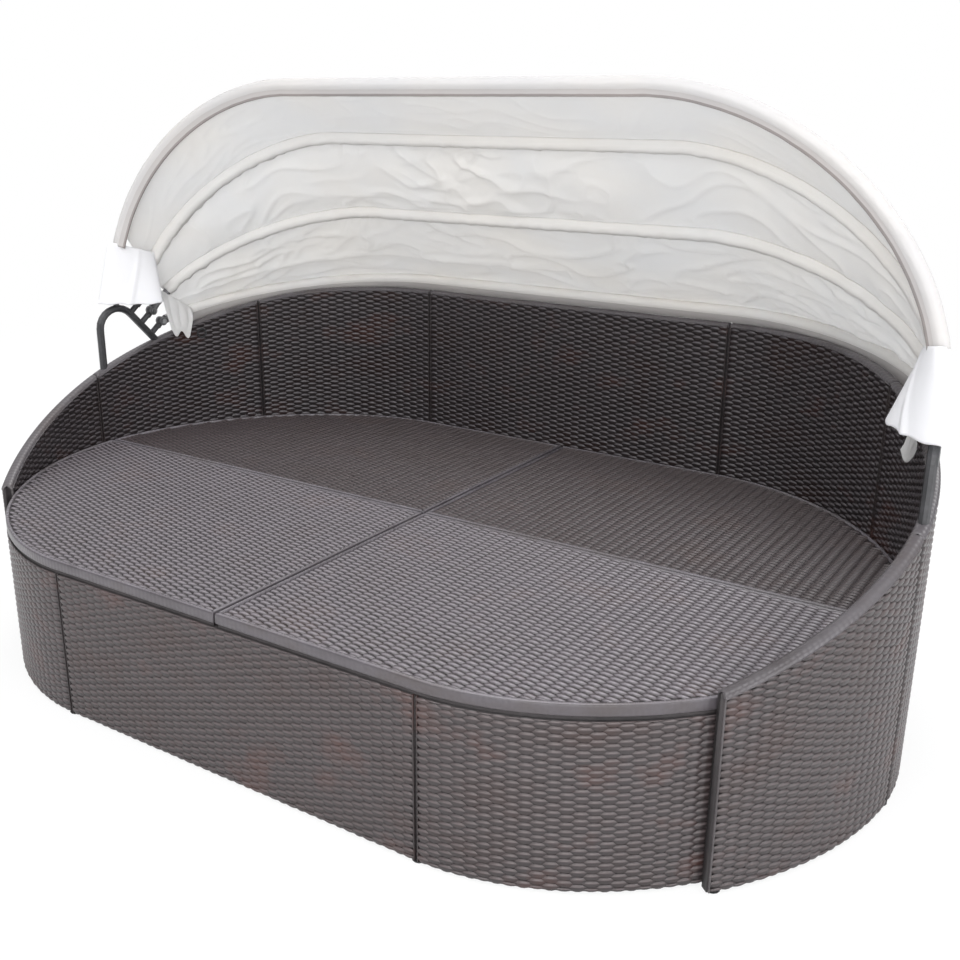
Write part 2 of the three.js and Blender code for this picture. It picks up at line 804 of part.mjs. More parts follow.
// A plain round sleeve, for the bow that lies along the wall
function sleeveGeometry(bow, endRise) {
  const firstStep = Math.ceil(shareAtRise(bow, endRise) * bowSteps);
  const layers = [clothThickness, 0].map((grow) => {
    const radius = bowTubeRadius + clothGap + grow;
    const rings = [];
    for (let step = firstStep; step <= bowSteps - firstStep; step += 1) {
      const { point, rear, out } = bowFrame(bow, step / bowSteps);
      rings.push(Array.from({ length: tubeSides }, (_, k) => {
        const angle = (2 * Math.PI * k) / tubeSides;
        return point.clone()
          .addScaledVector(rear, radius * Math.cos(angle))
          .addScaledVector(out, radius * Math.sin(angle));
      }));
    }
    return rings;
  });
  return loftSleeve(...layers);
}

const [frontBow, secondBow, thirdBow, rearBow] = bows;
addPiece('canopy_front_pocket', pocketGeometry(frontBow, pocketEnd, pocketDepth), 'cloth');
addPiece('canopy_rear_pocket', sleeveGeometry(rearBow, rearPocketEnd), 'cloth');

// Soft folds that run slantwise across a canopy panel
function foldShape(across, down) {
  const lines = foldShares.map((place) => {
    const shift = (across - place - (down - 1 / 2) * (place - 1 / 2) * foldSlant) * foldNarrowness;
    return Math.exp(-shift * shift);
  });
  return lines.reduce((sum, line) => sum + line, 0) * Math.sin(Math.PI * down);
}

// A canopy panel stretched over two bows, sagging between them
function panelGeometry(fore, aft, firstStep, foreGrow, aftGrow, sag) {
  const clothSteps = bowSteps - 2 * firstStep;
  const top = [];
  const bottom = [];
  for (let r = 0; r <= clothRows; r += 1) {
    const down = r / clothRows;
    const upper = [];
    const lower = [];
    for (let c = 0; c <= clothSteps; c += 1) {
      const across = c / clothSteps;
      const share = (firstStep + c) / bowSteps;
      const a = bowFrame(fore, share);
      const b = bowFrame(aft, share);
      const chord = b.point.clone().sub(a.point);
      const span = chord.length();
      chord.normalize();
      const along = a.along.clone().add(b.along).normalize();
      const normal = along.clone().cross(chord).normalize();
      if (normal.dot(a.out) < 0) normal.negate();
      const lean = Math.atan2(4 * sag, span);
      const seat = bowTubeRadius + clothGap;
      const start = a.point.clone()
        .addScaledVector(normal, (seat + foreGrow) * Math.cos(lean))
        .addScaledVector(chord, (seat + foreGrow) * Math.sin(lean));
      const finish = b.point.clone()
        .addScaledVector(normal, (seat + aftGrow) * Math.cos(lean))
        .addScaledVector(chord, -(seat + aftGrow) * Math.sin(lean));
      const drop = sag * 4 * down * (1 - down) - foldHeight * foldShape(across, down);
      const point = start.lerp(finish, down).addScaledVector(normal, -drop);
      lower.push(point);
      upper.push(point.clone().addScaledVector(normal, clothThickness));
    }
    top.push(upper);
    bottom.push(lower);
  }
  return loftSheet(top, bottom);
}

const pocketGrow = clothThickness + clothGap;
addPiece('canopy_front_panel',
  panelGeometry(frontBow, secondBow, frontPanelFirstStep, pocketGrow, 0, panelSag), 'cloth');
addPiece('canopy_middle_panel',
  panelGeometry(secondBow, thirdBow, middlePanelFirstStep, 0, 0, panelSag), 'cloth');
addPiece('canopy_rear_panel',
  panelGeometry(thirdBow, rearBow, rearPanelFirstStep, 0, pocketGrow, panelSag), 'cloth');

// Corner cuff: a flattened skirt of cloth that hangs round a front bow's end
function cuffRings(grow) {
  const rows = 6;
  const sides = 14;
  const topHeight = frontBow.eye.z + pocketEnd * Math.sin(deg(frontBow.tilt)) - cuffTopGap;
  const lowHeight = hoopTop + hoopTubeRadius + cuffClearance;
  const topShare = shareAtRise(frontBow, pocketEnd);
  const top = bowFrame(frontBow, topShare).point;
  const turn = deg(cuffTurn);
  const rings = [];
  for (let r = 0; r <= rows; r += 1) {
    const down = r / rows;
    const flare = Math.sin((Math.PI / 2) * down);
    const centre = new THREE.Vector3(
      top.x + cuffLowShift.x * down,
      top.y + cuffLowShift.y * down,
      THREE.MathUtils.lerp(topHeight, lowHeight, down),
    );
    const length = THREE.MathUtils.lerp(cuffTopLength, cuffLowLength, down) / 2 + grow;
    const width = THREE.MathUtils.lerp(bowTubeRadius + 2 * clothGap, cuffLowWidth / 2, flare) + grow;
    rings.push(Array.from({ length: sides }, (_, k) => {
      const angle = (2 * Math.PI * k) / sides;
      const u = length * Math.cos(angle);
      const v = width * Math.sin(angle);
      return centre.clone().add(new THREE.Vector3(
        u * Math.cos(turn) - v * Math.sin(turn),
        u * Math.sin(turn) + v * Math.cos(turn),
        0,
      ));
    }));
  }
  return rings;
}

const leftFlap = loftSleeve(cuffRings(clothThickness), cuffRings(0));
addPiece('corner_flap_left', leftFlap, 'cloth');
addPiece('corner_flap_right', mirrored(leftFlap), 'cloth');

// Tie loops that hold the canopy's rear corners down to the wall
function tieGeometry() {
  const cordSides = 6;
  const loop = new THREE.TorusGeometry(tieLoopRadius, tieCordRadius, cordSides, roundSides);
  const length = backSeam + (endSeam - backSeam) * tieSeamShare;
  const seat = endPoint(length, -tieCordRadius - tieGap);
  const ahead = endPoint(length + tieLoopRadius, -tieCordRadius - tieGap);
  loop.rotateX(Math.PI / 2);
  loop.rotateZ(Math.atan2(ahead.y - seat.y, ahead.x - seat.x));
  return loop.translate(seat.x, seat.y, wallTop(seat.y) - tieHeight);
}

const leftTie = tieGeometry();
addPiece('tie_loop_left', leftTie, 'cord');
addPiece('tie_loop_right', mirrored(leftTie), 'cord');

export default model;
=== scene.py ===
import math
import random

import bpy
import numpy as np
from mathutils import Matrix, Vector, noise


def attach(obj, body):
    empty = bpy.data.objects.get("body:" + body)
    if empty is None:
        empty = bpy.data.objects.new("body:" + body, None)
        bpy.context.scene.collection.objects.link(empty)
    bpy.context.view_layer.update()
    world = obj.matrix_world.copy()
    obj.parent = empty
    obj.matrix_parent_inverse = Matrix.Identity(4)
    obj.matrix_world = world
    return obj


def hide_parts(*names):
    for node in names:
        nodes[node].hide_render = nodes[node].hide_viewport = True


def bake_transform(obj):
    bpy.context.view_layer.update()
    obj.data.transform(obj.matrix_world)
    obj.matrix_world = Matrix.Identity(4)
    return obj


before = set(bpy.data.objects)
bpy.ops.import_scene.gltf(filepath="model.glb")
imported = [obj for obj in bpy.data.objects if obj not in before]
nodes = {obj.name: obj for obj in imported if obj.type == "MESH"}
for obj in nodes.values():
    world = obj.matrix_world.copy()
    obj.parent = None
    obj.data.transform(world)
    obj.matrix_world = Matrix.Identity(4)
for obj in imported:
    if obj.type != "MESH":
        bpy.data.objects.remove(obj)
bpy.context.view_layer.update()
print("frame loaded:", len(nodes), "nodes")

sides = {"left": -1, "right": 1}


# material nodes: a value goes into a socket as a number, a colour or a link
def plug(tree, value, socket):
    if isinstance(value, bpy.types.NodeSocket):
        tree.links.new(value, socket)
    elif isinstance(value, tuple) and socket.type == "RGBA":
        socket.default_value = (*value, 1)
    else:
        socket.default_value = value


def addNode(tree, kind, **values):
    node = tree.nodes.new(kind)
    for key, value in values.items():
        if hasattr(node, key):
            setattr(node, key, value)
        else:
            plug(tree, value, node.inputs[key.replace("_", " ")])
    return node


def newMaterial(name, roughness, metallic=0.0):
    material = bpy.data.materials.new(name)
    material.use_nodes = True
    tree = material.node_tree
    shader = tree.nodes["Principled BSDF"]
    shader.inputs["Roughness"].default_value = roughness
    shader.inputs["Metallic"].default_value = metallic
    coords = addNode(tree, "ShaderNodeTexCoord").outputs["Object"]
    return material, tree, shader, coords


def noiseNode(tree, coords, scale, detail, roughness, stretch=None):
    if stretch:
        coords = addNode(tree, "ShaderNodeMapping", Vector=coords, Scale=stretch).outputs["Vector"]
    texture = addNode(tree, "ShaderNodeTexNoise", Vector=coords, Scale=scale, Detail=detail, Roughness=roughness)
    return texture.outputs["Fac"]


def rampNode(tree, factor, stops):
    ramp = addNode(tree, "ShaderNodeValToRGB", Fac=factor)
    elements = ramp.color_ramp.elements
    while len(elements) < len(stops):
        elements.new(0.5)
    for element, (place, colour) in zip(elements, stops):
        element.position = place
        element.color = (*colour, 1)
    return ramp.outputs["Color"]


def mixColour(tree, factor, a, b, blend="MIX"):
    mix = addNode(tree, "ShaderNodeMix", data_type="RGBA", blend_type=blend)
    for index, value in ((0, factor), (6, a), (7, b)):
        plug(tree, value, mix.inputs[index])
    return mix.outputs[2]


def mathNode(tree, operation, *values):
    node = addNode(tree, "ShaderNodeMath", operation=operation)
    for socket, value in zip(node.inputs, values):
        plug(tree, value, socket)
    return node.outputs[0]


def bumpInto(tree, shader, height, strength, distance):
    bump = addNode(tree, "ShaderNodeBump", Strength=strength, Distance=distance, Height=height)
    plug(tree, bump.outputs["Normal"], shader.inputs["Normal"])


def mixShaders(tree, factor, first, second, output="Material Output"):
    mix = addNode(tree, "ShaderNodeMixShader", Fac=factor)
    plug(tree, first.outputs[0], mix.inputs[1])
    plug(tree, second.outputs[0], mix.inputs[2])
    plug(tree, mix.outputs[0], tree.nodes[output].inputs["Surface"])


strandLook = {
    "roughness": 0.36,
    "roughSpread": 0.25,
    "roughDrop": 0.12,
    "patches": (6.5, 4, 0.6, (1, 1, 1.6)),  # a noise's scale, detail, roughness and stretch
    "toneSpread": 0.36,  # from strand to strand
    "streaks": (140.0, 5, 0.7),
    "streakShare": 0.25,
    "streakColour": (0.062, 0.048, 0.048),
    "ridge": 0.80,  # painted highlight: the share of a light line painted along each strand, towards its upper edge
    "ridgeColour": (0.134, 0.109, 0.110),
    "crease": 0.50,  # painted shade in the crease along each strand's lower edge
    "creaseColour": (0.022, 0.018, 0.019),
    "grain": (900.0, 3, 0.6),
    "bump": (0.25, 0.0004),  # strength and depth
    "colours": [
        (0.30, (0.025, 0.012, 0.010)),
        (0.43, (0.024, 0.017, 0.017)),
        (0.55, (0.026, 0.021, 0.022)),
        (0.68, (0.048, 0.019, 0.015)),
    ],
}


def strandMaterial(name, look=strandLook, **changes):
    look = {**look, **changes}
    material, tree, shader, coords = newMaterial(name, look["roughness"])
    patches = rampNode(tree, noiseNode(tree, coords, *look["patches"]), look["colours"])
    tone = addNode(tree, "ShaderNodeAttribute", attribute_name="tone").outputs["Fac"]
    shade = mathNode(tree, "MULTIPLY_ADD", tone, look["toneSpread"], 1 - look["toneSpread"] / 2)
    grey = addNode(tree, "ShaderNodeCombineColor", Red=shade, Green=shade, Blue=shade).outputs[0]
    colour = mixColour(tree, 1.0, patches, grey, "MULTIPLY")
    # the "line" attribute paints light and shade into the colour: a painted highlight (ridge) and painted crease
    # shade (crease)
    line = addNode(tree, "ShaderNodeAttribute", attribute_name="line").outputs["Fac"]
    for part, sign in (("ridge", 1.0), ("crease", -1.0)):
        positive = mathNode(tree, "MAXIMUM", mathNode(tree, "MULTIPLY", line, sign), 0.0)
        share = mathNode(tree, "MULTIPLY", positive, look[part])
        colour = mixColour(tree, share, colour, look[part + "Colour"])
    streaks = noiseNode(tree, coords, *look["streaks"])
    share = mathNode(tree, "MULTIPLY", streaks, look["streakShare"])
    plug(tree, mixColour(tree, share, colour, look["streakColour"]), shader.inputs["Base Color"])
    rough = mathNode(tree, "MULTIPLY_ADD", streaks, look["roughSpread"], look["roughness"] - look["roughDrop"])
    plug(tree, rough, shader.inputs["Roughness"])
    bumpInto(tree, shader, noiseNode(tree, coords, *look["grain"]), *look["bump"])
    return material


def darker(colours, share):
    return [(place, tuple(channel * share for channel in colour)) for place, colour in colours]


strand = strandMaterial("woven strand")
shadeStrand = strandMaterial(  # the inside of the walls: a darker copy of the strand, painted shade
    "inner strand",
    ridgeColour=(0.115, 0.103, 0.114),
    streakColour=(0.038, 0.031, 0.033),
    colours=darker(strandLook["colours"], 0.75),
)
deckLook = {
    **strandLook,
    "roughness": 0.22,
    "toneSpread": 0.8,
    "streakColour": (0.14, 0.122, 0.128),
    # a brighter painted highlight line for glints on the lids, and darker painted crease shade
    "ridge": 0.95,
    "ridgeColour": (0.26, 0.236, 0.258),
    "crease": 1.0,
    "creaseColour": (0.012, 0.010, 0.011),
    "colours": [
        (0.30, (0.026, 0.017, 0.016)),
        (0.43, (0.031, 0.025, 0.026)),
        (0.55, (0.036, 0.030, 0.034)),
        (0.68, (0.042, 0.027, 0.024)),
    ],
}
deckStrand = strandMaterial("deck strand", deckLook)
# the rear lids under the canopy: a darker, rougher copy of the deck strand, painted shade
shadedRearDeckStrand = strandMaterial(
    "rear deck strand", deckLook,
    roughness=0.32,
    streakColour=(0.10, 0.082, 0.084),
    ridgeColour=(0.095, 0.074, 0.075),
    colours=darker(deckLook["colours"], 0.70),
)
bandLook = {**strandLook, "patches": (5.0, 4, 0.6, (1, 1, 1.6)), "toneSpread": 0.15}
band = strandMaterial("wrapped band", bandLook, roughness=0.32, colours=[
    (0.32, (0.070, 0.062, 0.066)),
    (0.50, (0.108, 0.100, 0.108)),
    (0.66, (0.090, 0.078, 0.079)),
])
lidBand = strandMaterial("lid band", bandLook, roughness=0.34, colours=[
    (0.32, (0.058, 0.051, 0.057)),
    (0.50, (0.090, 0.081, 0.091)),
    (0.66, (0.074, 0.063, 0.065)),
])
# a lighter copy of the lid band for the rounded top edge of the lids, a painted highlight
lidRimHighlight = strandMaterial("lid rim", bandLook, roughness=0.26, colours=[
    (0.32, (0.120, 0.108, 0.118)),
    (0.50, (0.190, 0.175, 0.192)),
    (0.66, (0.150, 0.135, 0.140)),
])
edging = strandMaterial("dark edging", toneSpread=0.0, streakColour=(0.09, 0.08, 0.082), colours=[
    (0.32, (0.040, 0.034, 0.035)),
    (0.60, (0.070, 0.062, 0.064)),
])
coreStreaks = (0.04, 0.035, 0.036)
core = strandMaterial("weave core", roughness=0.6, toneSpread=0.0, streakColour=coreStreaks, colours=[
    (0.30, (0.012, 0.010, 0.011)),
    (0.60, (0.030, 0.025, 0.026)),
])

clothLook = {
    "roughness": 0.9,
    "clouds": (3.5, 4, 0.55),
    "cool": (0.88, 0.88, 0.88),
    "warm": (0.90, 0.888, 0.87),
    "threads": (900.0, 1.2, 2),  # scale, wobble and its detail
    "crumples": (28.0, 5, 0.6),
    "crumple": 2.5,
    "bump": (0.35, 0.0006),
    "sheen": 0.1,
    "specular": 0.25,
    "through": 0.45,  # the share of light that passes each of the two layers
}


def clothMaterial(name, **changes):
    look = {**clothLook, **changes}
    material, tree, shader, coords = newMaterial(name, look["roughness"])
    clouds = noiseNode(tree, coords, *look["clouds"])
    colour = rampNode(tree, clouds, [(0.35, look["cool"]), (0.65, look["warm"])])
    plug(tree, colour, shader.inputs["Base Color"])
    scale, wobble, detail = look["threads"]
    weft, warp = (
        addNode(tree, "ShaderNodeTexWave", wave_type="BANDS", bands_direction=axis, Vector=coords,
                Scale=scale, Distortion=wobble, Detail=detail).outputs["Fac"]
        for axis in ("X", "Z")
    )
    crumple = noiseNode(tree, coords, *look["crumples"])
    height = mathNode(tree, "MULTIPLY_ADD", crumple, look["crumple"], mathNode(tree, "MULTIPLY", weft, warp))
    bumpInto(tree, shader, height, *look["bump"])
    shader.inputs["Sheen Weight"].default_value = look["sheen"]
    shader.inputs["Specular IOR Level"].default_value = look["specular"]
    through = addNode(tree, "ShaderNodeBsdfTranslucent", Color=colour)
    mixShaders(tree, look["through"], shader, through)
    return material


cloth = clothMaterial("canopy cloth")
rearCloth = clothMaterial("rear canopy cloth", through=0.55)
# darker copies of the cloth: painted shade on the front sleeve and its turn, and a painted shadow line at its seam
shadedSleeveCloth = clothMaterial("sleeve cloth", cool=(0.58, 0.57, 0.57), warm=(0.61, 0.59, 0.575), through=0.05)
casingCloth = clothMaterial("casing cloth", cool=(0.86, 0.85, 0.835), warm=(0.88, 0.855, 0.82), through=0.20)
turnShadeCloth = clothMaterial("sleeve turn", cool=(0.50, 0.48, 0.475), warm=(0.53, 0.50, 0.485), through=0.0)
seamShadowCloth = clothMaterial("sleeve seam", cool=(0.30, 0.275, 0.27), warm=(0.34, 0.305, 0.29), through=0.0)
# a lighter copy of the cloth for the cuffs, painted light
litCuffCloth = clothMaterial("cuff cloth", cool=(0.93, 0.93, 0.95), warm=(0.94, 0.935, 0.95), through=0.25)

coatLook = {
    "wear": (35.0, 5, 0.65),
    "grain": (2, 0.5),
    "light": 1.35,
    "lift": 0.01,
    "dark": 0.75,
    "roughSpread": 0.2,
    "bump": (0.3, 0.0003),
}


def coatMaterial(name, colour, roughness, metallic, grain):
    material, tree, shader, coords = newMaterial(name, roughness, metallic)
    wear = noiseNode(tree, coords, *coatLook["wear"])
    light = tuple(min(1.0, channel * coatLook["light"] + coatLook["lift"]) for channel in colour)
    dark = tuple(channel * coatLook["dark"] for channel in colour)
    worn = rampNode(tree, wear, [(0.35, dark), (0.5, colour), (0.72, light)])
    plug(tree, worn, shader.inputs["Base Color"])
    spread = coatLook["roughSpread"]
    rough = mathNode(tree, "MULTIPLY_ADD", wear, spread, roughness - spread / 2)
    plug(tree, rough, shader.inputs["Roughness"])
    bumpInto(tree, shader, noiseNode(tree, coords, grain, *coatLook["grain"]), *coatLook["bump"])
    return material


coat = coatMaterial("powder coat", (0.048, 0.048, 0.051), 0.42, 0.25, 700.0)
bowCoat = coatMaterial("bow coat", (0.16, 0.16, 0.165), 0.4, 0.5, 600.0)
pinSteel = coatMaterial("pin steel", (0.45, 0.45, 0.46), 0.3, 0.9, 300.0)
footPlastic = coatMaterial("foot plastic", (0.02, 0.02, 0.021), 0.6, 0.0, 500.0)
tieCord = coatMaterial("tie cord", (0.03, 0.03, 0.032), 0.8, 0.0, 1500.0)
print("materials ready:", len(bpy.data.materials))

# the deck's outline, and the walls that stand on it
plan = {
    "straight": 0.408,
    "reach": 0.552,
    "depth": 0.599,
    "fullness": 1.87,
    "samples": 2880,
    "step": 0.0005,
    "smooth": 20,
    "station": 0.012,
}
wall = {
    "thick": 0.024,
    "back": 0.672,
    "side": 0.500,
    "rise": 0.375,
    "easing": 0.08,
    "shoulder": 0.014,
    "low": 0.003,
    "seamGap": 0.004,
    "backSeam": 0.263,
    "endSeam": 0.516,
    "end": 0.747,
    "round": 0.009,
    "underBand": 0.0060,
    "edgeDrop": 0.004,
}
deck = {"top": 0.320, "lid": 0.027, "clear": 0.0015, "gap": 0.004, "round": 0.0042}


def runAlong(x, y):
    return np.concatenate([[0], np.cumsum(np.hypot(np.diff(x), np.diff(y)))])


def outlineTable():
    angle = np.pi / 2 + np.pi * np.arange(plan["samples"] + 1) / plan["samples"]
    power = 2 / plan["fullness"]
    x = plan["straight"] + plan["reach"] * np.abs(np.cos(angle)) ** power
    y = plan["depth"] * np.sign(np.sin(angle)) * np.abs(np.sin(angle)) ** power
    run = runAlong(x, y)
    step, total = plan["step"], run[-1]
    back = np.arange(0, plan["straight"], step)
    end = np.arange(0, total, step)
    front = np.arange(0, plan["straight"] + step, step)
    xs = np.concatenate([back, np.interp(end, run, x), plan["straight"] - front])
    ys = np.concatenate([
        np.full(len(back), plan["depth"]), np.interp(end, run, y), np.full(len(front), -plan["depth"])])
    lengths = np.concatenate([back, plan["straight"] + end, plan["straight"] + total + front])
    tx, ty = np.gradient(xs, lengths), np.gradient(ys, lengths)
    half = plan["smooth"]
    kernel = np.ones(2 * half + 1) / (2 * half + 1)
    for t in (tx, ty):
        t[half:-half] = np.convolve(t, kernel, "same")[half:-half]
    size = np.hypot(tx, ty)
    return lengths, xs, ys, tx / size, ty / size, total


tableS, tableX, tableY, tableTx, tableTy, endLength = outlineTable()


# place and outward direction at a length from the middle of the back
def outline(s, offset=0.0):
    s = np.asarray(s, float)
    side = np.where(s < 0, -1.0, 1.0)
    length = np.abs(s)
    x, y = np.interp(length, tableS, tableX), np.interp(length, tableS, tableY)
    tx, ty = np.interp(length, tableS, tableTx), np.interp(length, tableS, tableTy)
    nx, ny = -ty, tx
    flip = np.where(nx * x + ny * y < 0, -1.0, 1.0)
    nx, ny = nx * flip, ny * flip
    return (x + nx * offset) * side, y + ny * offset, nx * side, ny


def frontLine(x, offset):
    shape = np.shape(x)
    return x, np.full(shape, -plan["depth"] - offset), np.zeros(shape), np.full(shape, -1.0)


def spot(path, s, offset=0.0):
    return [float(v) for v in path(s, offset)]


def wallTop(y):
    y = np.asarray(y, float)
    slope = wall["side"] + wall["rise"] * y - wall["easing"] * y * y
    return wall["back"] - wall["shoulder"] * np.log1p(np.exp((wall["back"] - slope) / wall["shoulder"]))


def topLine(s):
    return wallTop(outline(s)[1])


def topAt(s):
    return float(topLine([s])[0])


# objects and meshes
def addObject(name, data):
    obj = bpy.data.objects.new(name, data)
    bpy.context.scene.collection.objects.link(obj)
    return obj


def meshObject(name, points, faces, materials, smooth=True, materialOf=None):
    mesh = bpy.data.meshes.new(name)
    mesh.from_pydata([tuple(p) for p in points], [], [tuple(f) for f in faces])
    for material in materials:
        mesh.materials.append(material)
    if materialOf is not None:
        mesh.polygons.foreach_set("material_index", materialOf)
    mesh.polygons.foreach_set("use_smooth", [smooth] * len(mesh.polygons))
    mesh.update()
    return addObject(name, mesh)


def gridFaces(rows, columns, closed=False):
    faces = []
    for r in range(rows - 1):
        for c in range(columns if closed else columns - 1):
            a, b = r * columns + c, r * columns + (c + 1) % columns
            faces.append((a, b, b + columns, a + columns))
    return faces


def cappedFaces(rows, columns, closed=True):
    last = (rows - 1) * columns
    caps = [tuple(range(columns)), tuple(last + i for i in reversed(range(columns)))]
    return gridFaces(rows, columns, closed) + caps


def selectOnly(*objects):
    bpy.ops.object.select_all(action="DESELECT")
    for obj in objects:
        obj.select_set(True)
    bpy.context.view_layer.objects.active = objects[0]


def outwardNormals(obj):
    selectOnly(obj)
    bpy.ops.object.mode_set(mode="EDIT")
    bpy.ops.mesh.select_all(action="SELECT")
    bpy.ops.mesh.normals_make_consistent(inside=False)
    bpy.ops.object.mode_set(mode="OBJECT")


def plainMesh(obj):
    bpy.context.view_layer.update()
    return bpy.data.meshes.new_from_object(obj.evaluated_get(bpy.context.evaluated_depsgraph_get()))


def thicken(obj, thickness, offset=0):
    solid = obj.modifiers.new("thick", "SOLIDIFY")
    solid.thickness = thickness
    solid.offset = offset
    plain = plainMesh(obj)
    obj.modifiers.clear()
    obj.data = plain
    plain.polygons.foreach_set("use_smooth", [True] * len(plain.polygons))


def finishPiece(obj, body, slot, *replaced):
    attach(obj, body)
    if replaced:
        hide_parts(*replaced)


def wovenPiece(node, parts, outward=True):
    selectOnly(*parts)
    bpy.ops.object.join()
    piece = parts[0]
    piece.name = piece.data.name = node + "_weave"
    if outward:
        outwardNormals(piece)
    finishPiece(piece, "base", "weave", node)


def shoulderArc(soft, steps=4):
    angles = [math.pi / 2 * k / steps for k in range(1, steps + 1)]
    return [(soft * (1 - math.cos(angle)), soft * math.sin(angle)) for angle in angles]


# from the outer face over the rounded top to the inner face
def roundedTop(inner, outer, top, soft):
    arc = shoulderArc(soft)
    profile = [(outer - back, top - soft + up) for back, up in arc]
    profile += [(inner + back, top - soft + up) for back, up in reversed(arc)]
    return profile + [(inner, top - soft)]


# the weave: one strand's strip, set on points by Geometry Nodes
weave = {
    "column": 0.0203,
    "pitch": 0.01265,
    "length": 0.0284,
    "width": 0.0130,
    "high": 0.0016,
    "dip": 0.0025,  # the ends go down by this
    "crown": 0.0021,  # and the edges by this
    "ridge": 0.2,  # where the strand is highest, across its width
    "seat": 0.0012,
    "bed": 0.0045,
    "least": 0.003,
    "endShift": 0.11,
    "endShort": 0.84,
    "under": 0.3,
    "jitter": 0.0004,
    "long": (0.97, 1.02),
    "rowTone": 0.18,
    "strandTone": 0.35,
}
dash = {
    "vertices": 6,
    "taper": -0.62,
    "taperGain": 1.724,  # from 0.42 of the half length outwards
    "taperStart": -0.724,
    "dipPower": 2.4,
    "crownPower": 2.0,
    # where a painted highlight lies across a strand, and how the painted highlight and painted crease shade fall
    # off
    "lineAt": 0.30,
    "lineFall": -5.0,
    "linePower": 4.0,
    "creaseStart": -1.5,
}


def weaveTree():
    tree = bpy.data.node_groups.new("weave", "GeometryNodeTree")
    face = tree.interface
    face.new_socket("Geometry", in_out="INPUT", socket_type="NodeSocketGeometry")
    kinds = dict.fromkeys(("length", "width", "high", "dip", "crown", "ridge"), "NodeSocketFloat")
    kinds["material"] = "NodeSocketMaterial"
    sockets = {key: face.new_socket(key, in_out="INPUT", socket_type=kinds[key]).identifier for key in kinds}
    face.new_socket("Geometry", in_out="OUTPUT", socket_type="NodeSocketGeometry")
    given = tree.nodes.new("NodeGroupInput").outputs
    result = tree.nodes.new("NodeGroupOutput")

    def calc(operation, *values):
        return mathNode(tree, operation, *values)

    def named(attribute):
        kind = "GeometryNodeInputNamedAttribute"
        return addNode(tree, kind, data_type="FLOAT_VECTOR", Name=attribute).outputs["Attribute"]

    grid = addNode(tree, "GeometryNodeMeshGrid", Vertices_X=dash["vertices"], Vertices_Y=dash["vertices"],
                   Size_X=given["length"], Size_Y=given["width"])
    place = addNode(tree, "ShaderNodeSeparateXYZ", Vector=tree.nodes.new("GeometryNodeInputPosition").outputs[0])
    along = calc("MULTIPLY", calc("ABSOLUTE", calc("DIVIDE", place.outputs["X"], given["length"])), 2.0)
    share = calc("DIVIDE", place.outputs["Y"], given["width"])
    below = calc("DIVIDE", calc("SUBTRACT", given["ridge"], share), calc("ADD", given["ridge"], 0.5))
    above = calc("DIVIDE", calc("SUBTRACT", share, given["ridge"]), calc("SUBTRACT", 0.5, given["ridge"]))
    across = calc("MAXIMUM", below, above)
    past = calc("MAXIMUM", calc("MULTIPLY_ADD", along, dash["taperGain"], dash["taperStart"]), 0.0)
    slide = calc("MULTIPLY", place.outputs["Y"], calc("MULTIPLY", past, dash["taper"]))
    sink = calc("MULTIPLY", calc("POWER", along, dash["dipPower"]), given["dip"])
    fall = calc("MULTIPLY", calc("POWER", across, dash["crownPower"]), given["crown"])
    height = calc("SUBTRACT", calc("SUBTRACT", given["high"], sink), fall)
    offset = addNode(tree, "ShaderNodeCombineXYZ", Y=slide, Z=height).outputs[0]
    shaped = addNode(tree, "GeometryNodeSetPosition", Geometry=grid.outputs["Mesh"], Offset=offset)

    # "line" is above 0 where a highlight is painted along the strand and below 0 where shade is painted along its
    # lower edge
    apart = calc("ABSOLUTE", calc("SUBTRACT", share, dash["lineAt"]))
    nearHighlight = calc("MULTIPLY_ADD", apart, dash["lineFall"], 1.0)
    middle = calc("SUBTRACT", 1.0, calc("POWER", along, dash["linePower"]))
    light = calc("MULTIPLY", calc("MAXIMUM", nearHighlight, 0.0), middle)
    dark = calc("MAXIMUM", calc("MULTIPLY_ADD", share, dash["lineFall"], dash["creaseStart"]), 0.0)
    lined = addNode(tree, "GeometryNodeStoreNamedAttribute", data_type="FLOAT", domain="POINT", Name="line",
                    Geometry=shaped.outputs[0], Value=calc("SUBTRACT", light, dark))
    smooth = addNode(tree, "GeometryNodeSetShadeSmooth", Geometry=lined.outputs[0])

    turn = addNode(tree, "FunctionNodeEulerToRotation", Euler=named("turn")).outputs[0]
    spread = addNode(tree, "GeometryNodeInstanceOnPoints", Points=given["Geometry"], Instance=smooth.outputs[0],
                     Rotation=turn, Scale=named("size"))
    real = addNode(tree, "GeometryNodeRealizeInstances", Geometry=spread.outputs[0])
    paint = addNode(tree, "GeometryNodeSetMaterial", Geometry=real.outputs[0], Material=given["material"])
    tree.links.new(paint.outputs[0], result.inputs[0])
    return tree, sockets


weaveGroup, weaveSockets = weaveTree()


